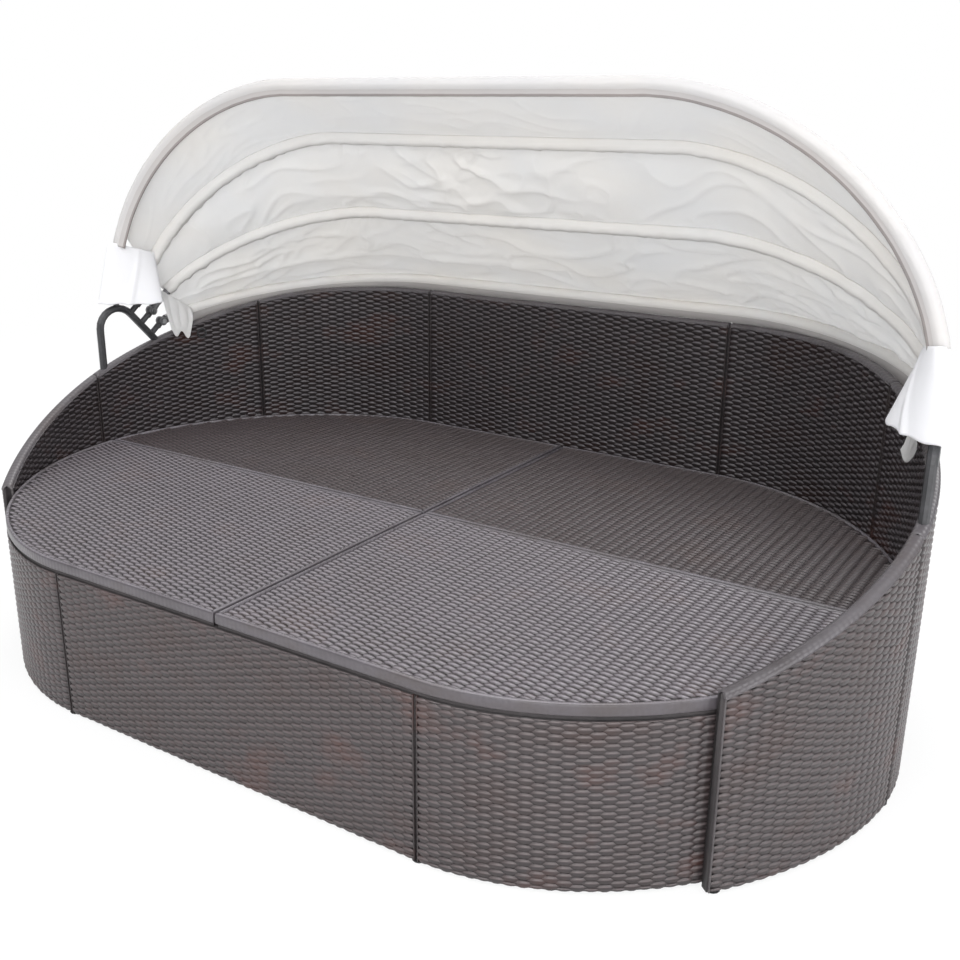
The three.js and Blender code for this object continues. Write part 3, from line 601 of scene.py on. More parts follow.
def weaveOn(name, places, material=strand, look=weave):
    mesh = bpy.data.meshes.new(name + " points")
    mesh.from_pydata([p["at"] for p in places], [], [])
    turns, sizes = [], []
    for p in places:
        along, out = Vector(p["along"]), Vector(p["out"])
        turns.extend(Matrix((along, out.cross(along), out)).transposed().to_euler())
        sizes.extend((p["long"], p["tall"], 1.0))
    for key, values in (("turn", turns), ("size", sizes)):
        mesh.attributes.new(key, "FLOAT_VECTOR", "POINT").data.foreach_set("vector", values)
    mesh.attributes.new("tone", "FLOAT", "POINT").data.foreach_set("value", [p["tone"] for p in places])
    points = addObject(name + " points", mesh)
    modifier = points.modifiers.new("weave", "NODES")
    modifier.node_group = weaveGroup
    for key, identifier in weaveSockets.items():
        modifier[identifier] = material if key == "material" else look[key]
    woven = plainMesh(points)
    woven.name = name
    bpy.data.objects.remove(points)
    return addObject(name, woven)


def columnCells(low, high):
    count = max(1, round((high - low) / weave["column"]))
    width = (high - low) / count
    cells = []
    for c in range(count):
        centre, share = low + (c + 0.5) * width, width / weave["column"]
        for end, way in ((0, 1), (count - 1, -1)):  # the end columns are shorter
            if c == end:
                centre, share = centre + way * width * weave["endShift"], share * weave["endShort"]
        cells.append((centre, width, share))
    return cells


def cellsUp(c, bottom, ceiling):
    pitch, least = weave["pitch"], weave["least"]
    cells = []
    at = bottom - (pitch / 2 if c % 2 else 0.0)
    while at < ceiling - least:
        low, high = max(at, bottom), min(at + pitch, ceiling)
        if high - low > least:
            cells.append(((low + high) / 2, (high - low) / pitch))
        at += pitch
    return cells


def strandPlace(rng, at, along, out, share, tall, tone, spread):
    return {
        "at": at,
        "along": along,
        "out": out,
        "long": share * rng.uniform(*weave["long"]),
        "tall": tall,
        "tone": min(1, max(0, tone + rng.uniform(-spread, spread))),
    }


def wallPlaces(low, high, bottom, offset, out, seed, under, path=outline):
    rng = random.Random(seed)
    tones, places = {}, []
    for c, (s, width, share) in enumerate(columnCells(low, high)):
        reach = width * weave["under"]
        ceiling = float(np.min(under(np.array([s - reach, s + reach]))))
        x, y, nx, ny = spot(path, s, offset)
        for z, tall in cellsUp(c, bottom, ceiling):
            row = round(z / weave["pitch"] * 2)
            if row not in tones:
                tones[row] = rng.uniform(-weave["rowTone"], weave["rowTone"])
            at = (x, y, z + rng.uniform(-weave["jitter"], weave["jitter"]))
            along, outward = (-ny * out, nx * out, 0), (nx * out, ny * out, 0)
            tone = 0.5 + tones[row]
            places.append(strandPlace(rng, at, along, outward, share, tall, tone, weave["strandTone"]))
    return places


# wall panels: a dark core, a wrapped band over the top, strands on both faces
wrap = {
    "drop": 0.0085,
    "proud": 0.0002,
    "pitch": 0.0095,
    "groove": 0.0004,
    "ribs": ((0.0, 1.0), (0.18, 0.15), (0.5, 0.0), (0.82, 0.15)),  # place in a wrap, depth of the groove
    "edge": 0.0032,
    "corner": 0.0025,
    "cornerShare": 0.45,
    "tongue": 0.0019,
    "turnIn": (0.003, 0.001),
    "stand": 0.0002,
    "behind": 0.0008,
}
clear = 0.001  # what strands and edges keep from a panel's rim


def stationCount(low, high):
    return max(4, int((high - low) / plan["station"]))


def wallCore(name, low, high):
    count = stationCount(low, high)
    stations = np.linspace(low - wrap["tongue"], high + wrap["tongue"], count)
    x0, y0, _, _ = outline(stations, weave["bed"])
    x1, y1, _, _ = outline(stations, wall["thick"] - weave["bed"])
    bottom, tops = wall["low"], topLine(stations) - weave["seat"]
    points = []
    for i in range(count):
        dx, dy = x1[i] - x0[i], y1[i] - y0[i]
        width = math.hypot(dx, dy)
        profile = [(0, bottom), (width, bottom), (width, tops[i] - wall["round"])]
        profile += roundedTop(0, width, tops[i], wall["round"])
        points += [(x0[i] + dx / width * across, y0[i] + dy / width * across, z) for across, z in profile]
    return meshObject(name, points, cappedFaces(count, len(profile)), [core])


def wrapRibs(length):
    count = max(3, round(length / wrap["pitch"]))
    ribs = [((k + part) / count, depth) for k in range(count) for part, depth in wrap["ribs"]]
    return ribs + [(1.0, 1.0)]


def bandOver(name, low, high):
    points = []
    back, down = wrap["turnIn"]
    drop = wrap["drop"]
    ribs = wrapRibs(high - low)
    for share, depth in ribs:
        proud = wrap["proud"] - wrap["groove"] * depth
        s = low + (high - low) * share
        x, y, nx, ny = spot(outline, s)
        outer, inner = wall["thick"] + proud, -proud
        profile = [(outer - back, -drop - down), (outer, -drop), (outer, -wall["round"])]
        profile += roundedTop(inner, outer, proud, wall["round"])
        profile += [(inner, -drop), (inner + back, -drop - down)]
        points += [(x + nx * offset, y + ny * offset, topAt(s) + height) for offset, height in profile]
    return meshObject(name, points, cappedFaces(len(ribs), len(profile), False), [band])


def upright(name, s, bottom, top, inner, outer, material, path=outline):
    width = wrap["edge"]
    corner = min(wrap["corner"], width * wrap["cornerShare"])
    profile = []
    for cx, cy, start in ((1, 1, 0), (-1, 1, 1), (-1, -1, 2), (1, -1, 3)):
        for k in range(3):
            angle = math.pi / 2 * (start + k / 2)
            profile.append((cx * (width / 2 - corner) + corner * math.cos(angle), cy, corner * math.sin(angle)))
    points = []
    ribs = wrapRibs(top - bottom)
    for share, depth in ribs:
        squeeze = wrap["groove"] * depth
        for along, face, turn in profile:
            x, y, nx, ny = spot(path, s + along * (1 - 2 * squeeze / width))
            offset = (outer - corner if face > 0 else inner + corner) + turn - face * squeeze
            points.append((x + nx * offset, y + ny * offset, bottom + (top - bottom) * share))
    return meshObject(name, points, cappedFaces(len(ribs), len(profile)), [material])


def edgeCentres(low, high):
    return low + wrap["edge"] / 2, high - wrap["edge"] / 2


def buildWallPanel(node, low, high, seed, frontEdge=None):
    def under(s):
        return topLine(s) - wall["underBand"]

    outside = wallPlaces(low, high, wall["low"] + clear, wall["thick"] - weave["seat"], 1, seed, under)
    inside = wallPlaces(low, high, deck["top"] - deck["lid"], weave["seat"], -1, seed + 50, under)
    parts = [
        wallCore(node + " core", low, high),
        bandOver(node + " band", low, high),
        weaveOn(node + " outside", outside),
        weaveOn(node + " inside", inside, shadeStrand),
    ]
    for i, s in enumerate(edgeCentres(low, high)):
        top = topAt(s) - wall["edgeDrop"]
        material = edging if frontEdge == i else strand
        outer = wall["thick"] - wrap["behind"]
        parts.append(upright(node + " edge", s, wall["low"], top, -wrap["stand"], outer, material))
    wovenPiece(node, parts)


def sideRange(start, end, side):
    low, high = plan["straight"] + start, plan["straight"] + end
    return (low, high) if side > 0 else (-high, -low)


halfSeam = wall["seamGap"] / 2
backSeam, endSeam, wallEnd = (endLength * wall[key] for key in ("backSeam", "endSeam", "end"))
middleRange = (-plan["straight"] + halfSeam, plan["straight"] - halfSeam)
buildWallPanel("back_panel_center", *middleRange, 11)
for sideName, side in sides.items():
    for name, start, end, seed in (
        ("back_corner_panel_", halfSeam, backSeam - halfSeam, 20),
        ("side_panel_", backSeam + halfSeam, endSeam - halfSeam, 30),
        ("end_panel_", endSeam + halfSeam, wallEnd, 40),
    ):
        frontEdge = (1 if side > 0 else 0) if end == wallEnd else None
        buildWallPanel(name + sideName, *sideRange(start, end, side), seed + side, frontEdge)
print("wall panels built")

apron = {
    "recess": 0.001,
    "thick": 0.025,
    "top": 0.293,
    "rail": 0.025,
    "fit": 0.0003,
    "slope": (0.003, 0.008),
    "behind": 0.0012,
}


def buildApron(node, low, high, seed, path=outline):
    outer = -apron["recess"]
    inner, face = outer - apron["thick"], outer - weave["bed"]
    bottom, top = wall["low"], apron["top"]
    drop, back = apron["slope"]
    profile = [(inner, bottom), (face, bottom), (face, top - drop), (outer - back, top), (inner, top)]
    count = stationCount(low, high)
    points = []
    for s in np.linspace(low, high, count):
        x, y, nx, ny = spot(path, s)
        points += [(x + nx * offset, y + ny * offset, z) for offset, z in profile]
    parts = [meshObject(node + " core", points, cappedFaces(count, len(profile)), [core])]

    def under(s):
        return np.full(np.shape(s), top - clear)

    places = wallPlaces(low, high, bottom + clear, outer - weave["seat"], 1, seed, under, path)
    parts.append(weaveOn(node + " outside", places))
    front = outer - apron["behind"]
    for s in edgeCentres(low, high):
        parts.append(upright(node + " edge", s, bottom, top - clear, inner + clear, front, strand, path))
    wovenPiece(node, parts)


for sideName, side in sides.items():
    start = wallEnd - apron["rail"] + apron["fit"]
    buildApron("front_apron_" + sideName, *sideRange(start, endLength - halfSeam, side), 60 + side)
buildApron("front_apron_center", *middleRange, 66, frontLine)
print("aprons built")


# deck lids: a quarter outline each, with a wrapped border and a painted highlight along the rounded rim
def lidOutline(inset):
    straight, (few, many) = plan["straight"], lidLook["samples"]
    s = np.concatenate([
        np.linspace(0, straight, few, endpoint=False),
        np.linspace(straight, straight + endLength / 2, many),
    ])
    x, y, _, _ = outline(s, -inset)
    return np.abs(x), y


def lidLoop():
    half = deck["gap"] / 2
    x, y = lidOutline(deck["clear"])
    keep = (x > half) & (y > half)
    x, y = x[keep], y[keep]
    return [(half, half), (half, float(y[0])), *zip(x.tolist(), y.tolist()), (float(x[-1]), half)]


def resample(loop, step):
    closed = np.array(loop + [loop[0]])
    run = runAlong(closed[:, 0], closed[:, 1])
    count = int(run[-1] / step)
    at = run[-1] * np.arange(count) / count
    return np.stack([np.interp(at, run, closed[:, 0]), np.interp(at, run, closed[:, 1])], 1), count


lidWeave = {**weave, "width": 0.0116, "crown": 0.0038, "dip": 0.0038, "ridge": 0.1, "strandTone": 0.4}
lidLook = {
    "band": 0.0205,
    "groove": 0.004,
    "rim": 0.0022,
    "rimFrom": 5,
    "rimEdge": (0.0006, 0.005),
    "flat": 0.0001,
    "foot": 0.002,
    "ribs": 4,
    "samples": (60, 200),
}


def buildLid(row, sideName, seed):
    flip = (sides[sideName], -1 if row == "front" else 1)
    node = f"deck_lid_{row}_{sideName}"
    soft, top, ribs, small = deck["round"], deck["top"], lidLook["ribs"], lidLook["foot"]
    base, count = resample(lidLoop(), wrap["pitch"] / ribs)
    tangent = np.roll(base, -1, 0) - np.roll(base, 1, 0)
    tangent /= np.linalg.norm(tangent, axis=1)[:, None]
    inward = np.stack([tangent[:, 1], -tangent[:, 0]], 1)
    if np.mean(np.sum(inward * (base.mean(0) - base), 1)) < 0:
        inward = -inward

    def placed(ring, z):
        return [(p[0] * flip[0], p[1] * flip[1], z) for p in ring]

    wraps = np.where(np.arange(count) % ribs == 0, wrap["groove"], 0.0)[:, None]
    foot = top - lidLook["band"]
    rim = soft + lidLook["rim"]
    foldedIn = lidLook["groove"] + small
    profile = [(foldedIn, foot), (small, foot), (0.0, foot + small), (0.0, top - soft)]
    profile += [(back, top - soft + up) for back, up in shoulderArc(soft)]
    profile += [(rim, top), (rim + lidLook["rimEdge"][0], top - lidLook["rimEdge"][1])]
    points = []
    for inset, z in profile:
        points += placed(base + inward * (inset + (wraps if foot < z < top - lidLook["flat"] else 0)), z)
    # the faces over the rounded top edge get the painted highlight
    paint = [1 if r >= lidLook["rimFrom"] else 0 for r in range(len(profile) - 1) for _ in range(count)]
    faces = gridFaces(len(profile), count, True)
    border = meshObject(node + " edge", points, faces, [lidBand, lidRimHighlight], materialOf=paint)

    middle = base.mean(0)
    slabTop, slabLow = top - weave["bed"], top - deck["lid"]
    slabRows = [(slabTop, 0.0, soft), (slabTop, 1.0, soft),
                (slabLow, 1.0, lidLook["groove"]), (slabLow, 0.0, lidLook["groove"])]
    points = []
    for z, share, inset in slabRows:
        ring = middle + (base + inward * inset - middle) * share
        points += placed(ring[::ribs], z)
    faces = gridFaces(len(slabRows), len(base[::ribs]), True)
    slab = meshObject(node + " core", points, faces, [core], smooth=False)

    rng = random.Random(seed)
    half = deck["gap"] / 2 + rim
    edgeX, edgeY = lidOutline(deck["clear"] + rim)
    places = []
    for c, (x, width, share) in enumerate(columnCells(half, float(edgeX.max()))):
        outer = x + width * weave["under"]
        ceiling = float(np.interp(outer, edgeX, edgeY)) if outer > edgeX[0] else float(edgeY[0])
        for y, tall in cellsUp(c, half, ceiling):
            y += rng.uniform(-weave["jitter"], weave["jitter"])
            at = (x * flip[0], y * flip[1], top - weave["seat"])
            spread = lidWeave["strandTone"]
            places.append(strandPlace(rng, at, (-1, 0, 0), (0, 0, 1), share, tall, 0.5, spread))
    material = deckStrand if row == "front" else shadedRearDeckStrand
    wovenPiece(node, [border, slab, weaveOn(node + " top", places, material, lidWeave)], outward=False)


for row, seed in (("front", 80), ("rear", 90)):
    for sideName, side in sides.items():
        buildLid(row, sideName, seed + side)
print("lids built")

def inset(start, t):
    return start + (1 - 2 * start) * t


def between(pair, share):
    return Vector(pair[0]).lerp(Vector(pair[1]), share)


# the canopy's bows as curves, as the CAD has them
tube = {"radius": 0.0095, "gap": 0.0004, "start": 0.022, "spread": 0.004, "samples": (600, 100)}
bows = {
    "front_bow": {"eye": (0.96445, 0.05167, 0.68778), "rise": 0.474, "tilt": 86.9, "fullness": 1.88},
    "second_bow": {"eye": (0.95393, 0.12072, 0.65583), "rise": 0.412, "tilt": 73.6, "fullness": 1.75},
    "third_bow": {"eye": (0.94991, 0.14712, 0.62578), "rise": 0.346, "tilt": 47.2, "fullness": 1.75},
    "rear_bow": {"eye": (0.94589, 0.17352, 0.59573), "rise": 0.4558, "tilt": 12.52, "fullness": 1.88},
}


def bowTable(bow):
    straight, (many, few) = plan["straight"], tube["samples"]
    power = 2 / bow["fullness"]
    angle = np.linspace(math.asin((tube["start"] / bow["rise"]) ** (1 / power)), math.pi / 2, many)
    x = -straight - (bow["eye"][0] - straight) * np.cos(angle) ** power
    rise = bow["rise"] * np.sin(angle) ** power
    middle = np.linspace(-straight, straight, few)[1:-1]
    x = np.concatenate([x, middle, -x[::-1]])
    rise = np.concatenate([rise, np.full(len(middle), bow["rise"]), rise[::-1]])
    run = runAlong(x, rise)
    return run / run[-1], x, rise


for bow in bows.values():
    bow["table"] = bowTable(bow)


# point, run of the tube, its rear side and its outer side at a share of its length
def bowAt(bow, share):
    shares, xs, rises = bow["table"]
    tilt = math.radians(bow["tilt"])
    (lowX, x, highX), (lowRise, rise, highRise) = (
        [np.interp(share + step, shares, values) for step in (-tube["spread"], 0, tube["spread"])]
        for values in (xs, rises)
    )
    dx, dr = highX - lowX, highRise - lowRise
    size = math.hypot(dx, dr)
    dx, dr = dx / size, dr / size
    point = Vector((x, bow["eye"][1] + rise * math.cos(tilt), bow["eye"][2] + rise * math.sin(tilt)))
    along = Vector((dx, dr * math.cos(tilt), dr * math.sin(tilt)))
    rear = Vector((0, math.sin(tilt), -math.cos(tilt)))
    out = Vector((-dr, dx * math.cos(tilt), dx * math.sin(tilt)))
    return point, along, rear, out


# canopy cloth: three sheets between the bows
canopy = {
    "across": 460,
    "down": 40,
    "thick": 0.0014,
    "fullSag": 0.15,
    "seamEase": 6,  # how soon the folds begin past a bow, and past a side edge
    "endEase": 14,
    "endShare": 0.25,
    "seedSteps": (7.3, 3.1, 5.7),
}
seat = tube["radius"] + tube["gap"] + canopy["thick"] / 2
sleeveRoom = 0.0026
frontLook = {
    "fore": "front_bow", "aft": "second_bow", "body": "front_bow_body", "aftWeight": 0.82,
    "foreFrom": 0.0545, "aftFrom": 0.022, "foreSeat": seat + sleeveRoom, "aftSeat": seat,
    "sag": 0.008, "run": 2.17, "seed": 1, "cloth": cloth,
    "soft": 0.0030, "fold": 0.0014, "pucker": 0.0014, "crumple": 0.003, "pleat": 0.0,
}
middleLook = {
    "fore": "second_bow", "aft": "third_bow", "body": "second_bow_body", "aftWeight": 0.55,
    "foreFrom": 0.018, "aftFrom": 0.018, "foreSeat": seat, "aftSeat": seat,
    "sag": 0.010, "run": 2.19, "seed": 2, "cloth": cloth,
    "soft": 0.006, "fold": 0.0048, "pucker": 0.0050, "crumple": 0.012, "pleat": 0.0,
}
rearLook = {
    "fore": "third_bow", "aft": "rear_bow", "body": "third_bow_body", "aftWeight": 0.0,
    "foreFrom": 0.018, "aftFrom": 0.016, "foreSeat": seat, "aftSeat": seat + sleeveRoom,
    "sag": 0.012, "run": 2.27, "seed": 3, "cloth": rearCloth,
    "soft": 0.008, "fold": 0.0080, "pucker": 0.0055, "crumple": 0.012, "pleat": 0.0085,
}
pleatLook = {
    "down": 0.60, "slope": 0.05, "end": 0.03, "endFade": 0.006, "open": 0.07, "sharp": 0.012,
    "seam": 0.035, "seamWide": 0.005, "seamFade": 0.02, "seamDeep": 0.4,
}
foldLook = {
    "swell": 3.1,
    "warp": (5.0, 1.4, 0.7),
    "long": ((3.0, 6.0), (-1.4, 8.0), 1.6),  # slanted long folds
    "longRidge": (2.6, 2.2),
    "small": ((10.0, 5.0), (-2.5, 19.0)),  # small creases, in patches
    "smallRidge": (2.4, 1.6),
    "patch": (2.3, 17, 0.2),
    "puckers": ((24.0, 7.0, 0, 0.055, 1.0), (20.0, 8.0, 9, 0.05, 0.8)),  # at the fore and the aft bow
}


# a step where the sheet is folded over, and the short seam beside it
def pleat(x, down, deep):
    look = pleatLook
    line = down - look["down"] - look["slope"] * x
    fade = 1 / (1 + math.exp((x - look["end"]) / look["endFade"]))
    step = math.exp(-line / look["open"]) if line > 0 else math.exp(line / look["sharp"])
    seam = math.exp(-((x - look["seam"]) / look["seamWide"]) ** 2)
    seam /= 1 + math.exp((look["down"] - down) / look["seamFade"])
    return deep * (step * fade + look["seamDeep"] * seam)


def ridge(place, thin, sharp):
    return max(0.0, 1 - abs(noise.noise(place)) * thin) ** sharp


def wrinkles(x, run, span, down, look):
    seed, below, above = look["seed"], down * span, (1 - down) * span
    flatSeed, longSeed, smallSeed = (seed * step for step in canopy["seedSteps"])
    flat = Vector((run, below, flatSeed))
    height = noise.noise(flat * foldLook["swell"]) * look["soft"]
    scale, strong, turn = foldLook["warp"]
    warp = noise.noise(flat * scale) * strong
    (a, b), (c, d), scale = foldLook["long"]
    slanted = Vector((run * a + below * b, run * c + below * d, longSeed))
    height += ridge(slanted * scale + Vector((warp, warp * turn, 0)), *foldLook["longRidge"]) * look["fold"]
    scale, aside, lift = foldLook["patch"]
    patch = max(0.0, noise.noise(flat * scale + Vector((0, 0, aside))) + lift)
    (a, b), (c, d) = foldLook["small"]
    slanted = Vector((run * a + below * b, run * c + below * d, smallSeed))
    height += ridge(slanted, *foldLook["smallRidge"]) * look["crumple"] * patch
    for (a, b, other, reach, share), away in zip(foldLook["puckers"], (below, above)):
        gathered = noise.noise(Vector((run * a, below * b, seed + other)))
        height += gathered * math.exp(-away / reach) * look["pucker"] * share
    return height + pleat(x, down, look["pleat"])


# a point of a sheet, t along the bows and down from the fore bow to the aft one
def clothPoint(look, t, down):
    a, alongA, _, outA = bowAt(bows[look["fore"]], inset(look["foreFrom"], t))
    b, alongB, _, _ = bowAt(bows[look["aft"]], inset(look["aftFrom"], t))
    chord = b - a
    span = chord.length
    chord.normalize()
    normal = (alongA + alongB).normalized().cross(chord).normalized()
    if normal.dot(outA) < 0:
        normal.negate()
    sag = look["sag"] * min(1.0, span / canopy["fullSag"])
    lean = math.atan2(4 * sag, span)
    start = a + normal * look["foreSeat"] * math.cos(lean) + chord * look["foreSeat"] * math.sin(lean)
    finish = b + normal * look["aftSeat"] * math.cos(lean) - chord * look["aftSeat"] * math.sin(lean)
    point = start.lerp(finish, down) - normal * (sag * 4 * down * (1 - down))
    hold = min(1.0, canopy["seamEase"] * down, canopy["seamEase"] * (1 - down))
    least = canopy["endShare"]
    ends = least + (1 - least) * min(1.0, canopy["endEase"] * t, canopy["endEase"] * (1 - t))
    lift = wrinkles(point.x, (t - 0.5) * look["run"], span, down, look) * hold * ends
    return point - normal * lift, normal


# a sheet from its grid of points, with its thickness
def clothSheet(name, points, columns, thick, materials, closed=False, paint=None, offset=0):
    faces = gridFaces(len(points) // columns, columns, closed)
    painted = [(paint or {}).get(i % columns, 0) for i in range(len(faces))]
    piece = meshObject(name, points, faces, materials, materialOf=painted)
    if offset:
        outwardNormals(piece)
    thicken(piece, thick, offset)
    grid = np.array([tuple(p) for p in points]).reshape(-1, columns, 3)
    if closed:
        grid = np.concatenate([grid, grid[:, :1]], 1)
    return piece


def buildPanel(node, look):
    across, down = canopy["across"], canopy["down"]
    points = [clothPoint(look, c / across, r / down)[0] for r in range(down + 1) for c in range(across + 1)]
    panel = clothSheet(node + "_cloth", points, across + 1, canopy["thick"], [look["cloth"]])
    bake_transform(panel)
    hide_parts(node)
    follows = 1 + (look["aftWeight"] - 1) * np.arange(down + 1) / down  # how far each row goes with the body
    shares = np.repeat(follows, across + 1)
    weights = np.zeros(len(panel.data.vertices), np.float32)
    for first in range(0, len(weights) - len(shares) + 1, len(shares)):
        weights[first:first + len(shares)] = shares


buildPanel("canopy_front_panel", frontLook)
buildPanel("canopy_middle_panel", middleLook)
buildPanel("canopy_rear_panel", rearLook)


def ripple(share, scale, row, seed):
    return noise.noise(Vector((share * scale, row, seed)))


# the sleeve on the front bow, darker than the cloth, with painted shade on its turn and a painted shadow line along
# its seam
sleeve = {
    "ends": {"left": 0.797, "right": 0.766},
    "radius": 0.0120,
    "flap": ((0.0120, -0.0030), (0.00864, -0.010125), (0.0016, -0.0180), (0.0016, -0.0225)),
    "around": 12,
    "steps": 360,
    "thick": 0.0010,
    "waves": ((60.0, 0.35, 5, 0.0009), (150.0, 0.6, 9, 0.00045)),
    "waveShare": (0.5, 0.6),
    # painted shade on the turn, a painted shadow line along the seam
    "paint": {14: 1, 15: 2, 16: 2, 17: 2},
}


def shareAtHeight(bow, z):
    shares, _, rises = bow["table"]
    half = len(shares) // 2
    wanted = (z - bow["eye"][2]) / math.sin(math.radians(bow["tilt"]))
    return float(np.interp(wanted, rises[:half], shares[:half]))


def frontSleeve():
    bow = bows["front_bow"]
    angles = [math.pi * k / sleeve["around"] for k in range(sleeve["around"] + 1)]
    profile = [(sleeve["radius"] * math.cos(angle), sleeve["radius"] * math.sin(angle)) for angle in angles]
    profile += [(-u, v) for u, v in sleeve["flap"]] + list(sleeve["flap"][::-1])
    low, high = shareAtHeight(bow, sleeve["ends"]["left"]), 1 - shareAtHeight(bow, sleeve["ends"]["right"])
    sideShare, outShare = sleeve["waveShare"]
    points = []
    for i in range(sleeve["steps"] + 1):
        share = low + (high - low) * i / sleeve["steps"]
        point, _, rear, out = bowAt(bow, share)
        for k, (u, v) in enumerate(profile):
            wave = sum(ripple(share, scale, k * row, seed) * size for scale, row, seed, size in sleeve["waves"])
            aside = wave * (sideShare if u >= 0 else -sideShare)
            points.append(point + rear * (u + aside) + out * (v + wave * outShare))
    materials = [shadedSleeveCloth, turnShadeCloth, seamShadowCloth]
    columns = len(profile)
    piece = clothSheet("front_pocket_cloth", points, columns, sleeve["thick"], materials, True, sleeve["paint"])
    finishPiece(piece, "front_bow_body", "cloth", "canopy_front_pocket")


frontSleeve()

# the hem over the rear bow, which hangs down to the wall's rounded top edge
rearHem = {
    "radius": 0.0121,
    "drop": 0.0360,
    "above": 0.0006,
    "lip": 0.0036,
    "from": 0.016,
    "steps": 460,
    "thick": 0.0010,
    "around": 24,
    "turn": 130,
    "touch": 0.001,
    "ease": 0.004,
    "waves": ((60.0, 0.4, 0.0012), (170.0, 1.4, 0.0006)),
    "samples": 900,
    "seed": 8.0,
    # the hem's lowest faces take the darker turn cloth, painted shade
    "paint": {24: 1, 25: 1},
}


def rearSleeve():
    look, soft, around = rearHem, wall["round"], rearHem["around"]
    wallS = np.linspace(0, plan["straight"] + endSeam, look["samples"])
    wallX, wallY, _, _ = outline(wallS, wall["thick"])
    wallHigh = topLine(wallS)
    points = []
    for i in range(look["steps"] + 1):
        share = inset(look["from"], i / look["steps"])
        point, _, _, out = bowAt(bows["rear_bow"], share)
        inner = Vector((-out.x, -out.y, 0)).normalized()
        wave = sum(ripple(share, scale, row, look["seed"]) * size for scale, row, size in look["waves"])
        nearest = int(np.argmin(np.hypot(wallX - abs(point.x), wallY - point.y)))
        away = math.hypot(point.x, point.y) - math.hypot(wallX[nearest], wallY[nearest])
        free = min(1.0, max(0.0, (away - look["touch"]) / look["ease"]))
        near = min(soft, max(0.0, away - look["lip"] + soft))
        onWall = point.z - float(wallHigh[nearest]) - look["above"] + soft - math.sqrt(soft ** 2 - near ** 2)
        drop = min(look["drop"] + wave, onWall) * (1 - free) + (look["drop"] + wave * 2) * free
        for k in range(around + 1):
            angle = math.radians(look["turn"] * (2 * k / around - 1))
            aside = look["radius"] * math.sin(angle) + (wave if k > around / 2 else 0)
            points.append(point + inner * aside + Vector((0, 0, look["radius"] * math.cos(angle))))
        for aside in (look["lip"], 0.0, -look["lip"]):
            points.append(point + inner * (aside + wave) - Vector((0, 0, drop)))
    materials = [casingCloth, turnShadeCloth]
    piece = clothSheet("rear_sleeve_cloth", points, around + 4, look["thick"], materials, True, look["paint"])
    finishPiece(piece, "base", "cloth", "canopy_rear_pocket")


rearSleeve()

# casings sewn over the two middle bows, from one sheet round the tube to the next
casing = {
    "clear": 0.0008,
    "steps": 420,
    "around": 9,
    "spread": 70,
    "up": 0.013,
    "low": 0.014,
    "inside": 0.0012,
    "thick": 0.0009,
    "deepest": -0.0005,
    "waves": ((90.0, 0.3, 1.0), (210.0, 1.7, 0.6)),
    "leadIn": (0.35, 0.7),  # points between the sheet and the tube, and the one on the other side
    "leadOut": (0.5, 1.4),
}


def buildCasing(name, body, foreLook, aftLook, fromShare, pucker, seed):
    bow, foreBow, aftBow = (bows[key] for key in (foreLook["aft"], foreLook["fore"], aftLook["aft"]))
    radius = tube["radius"] + tube["gap"] + casing["clear"]
    steps, count = casing["steps"], casing["around"]
    points = []
    for i in range(steps + 1):
        share = inset(fromShare, i / steps)
        point, along, _, out = bowAt(bow, share)

        def towards(other):  # the way to the next bow, square to this one
            way = bowAt(other, share)[0] - point
            return (way - along * way.dot(along)).normalized(), way.length

        def onSheet(look, start, down):
            t = min(1.0, max(0.0, (share - start) / (1 - 2 * start)))
            place, normal = clothPoint(look, t, down)
            return place - normal * casing["inside"]

        upWay, upLength = towards(foreBow)
        downWay, downLength = towards(aftBow)
        inner = -(upWay + downWay)
        inner = inner.normalized() if inner.length > 1e-4 else -out
        if inner.dot(out) > 0:
            inner = -inner
        sideways = along.cross(inner).normalized()
        if sideways.dot(upWay) < 0:
            sideways = -sideways
        gather, fine = (ripple(share, scale, row, seed) * pucker * part for scale, row, part in casing["waves"])
        startPoint = onSheet(foreLook, foreLook["aftFrom"], 1 - casing["up"] / upLength)
        endPoint = onSheet(aftLook, aftLook["foreFrom"], (casing["low"] + gather * 2) / downLength)
        arc = []
        for k in range(count + 1):
            angle = math.radians(casing["spread"] * (2 * k / count - 1))
            arc.append(point + inner * (radius * math.cos(angle)) - sideways * (radius * math.sin(angle)))
        profile = [startPoint, *(startPoint.lerp(arc[0], part) for part in casing["leadIn"])]
        profile += [p + inner * max(casing["deepest"], (gather + fine) * k / count) for k, p in enumerate(arc)]
        part, hang = casing["leadOut"]
        profile += [arc[-1].lerp(endPoint, part) + inner * (gather * hang + fine), endPoint]
        points += profile
    piece = clothSheet(name, points, len(profile), casing["thick"], [casingCloth])
    finishPiece(piece, body, "cloth")


buildCasing("second_bow_casing", "second_bow_body", frontLook, middleLook, 0.024, 0.0030, 3)
buildCasing("third_bow_casing", "third_bow_body", middleLook, rearLook, 0.020, 0.0040, 6)
print("canopy panels and sleeves built")

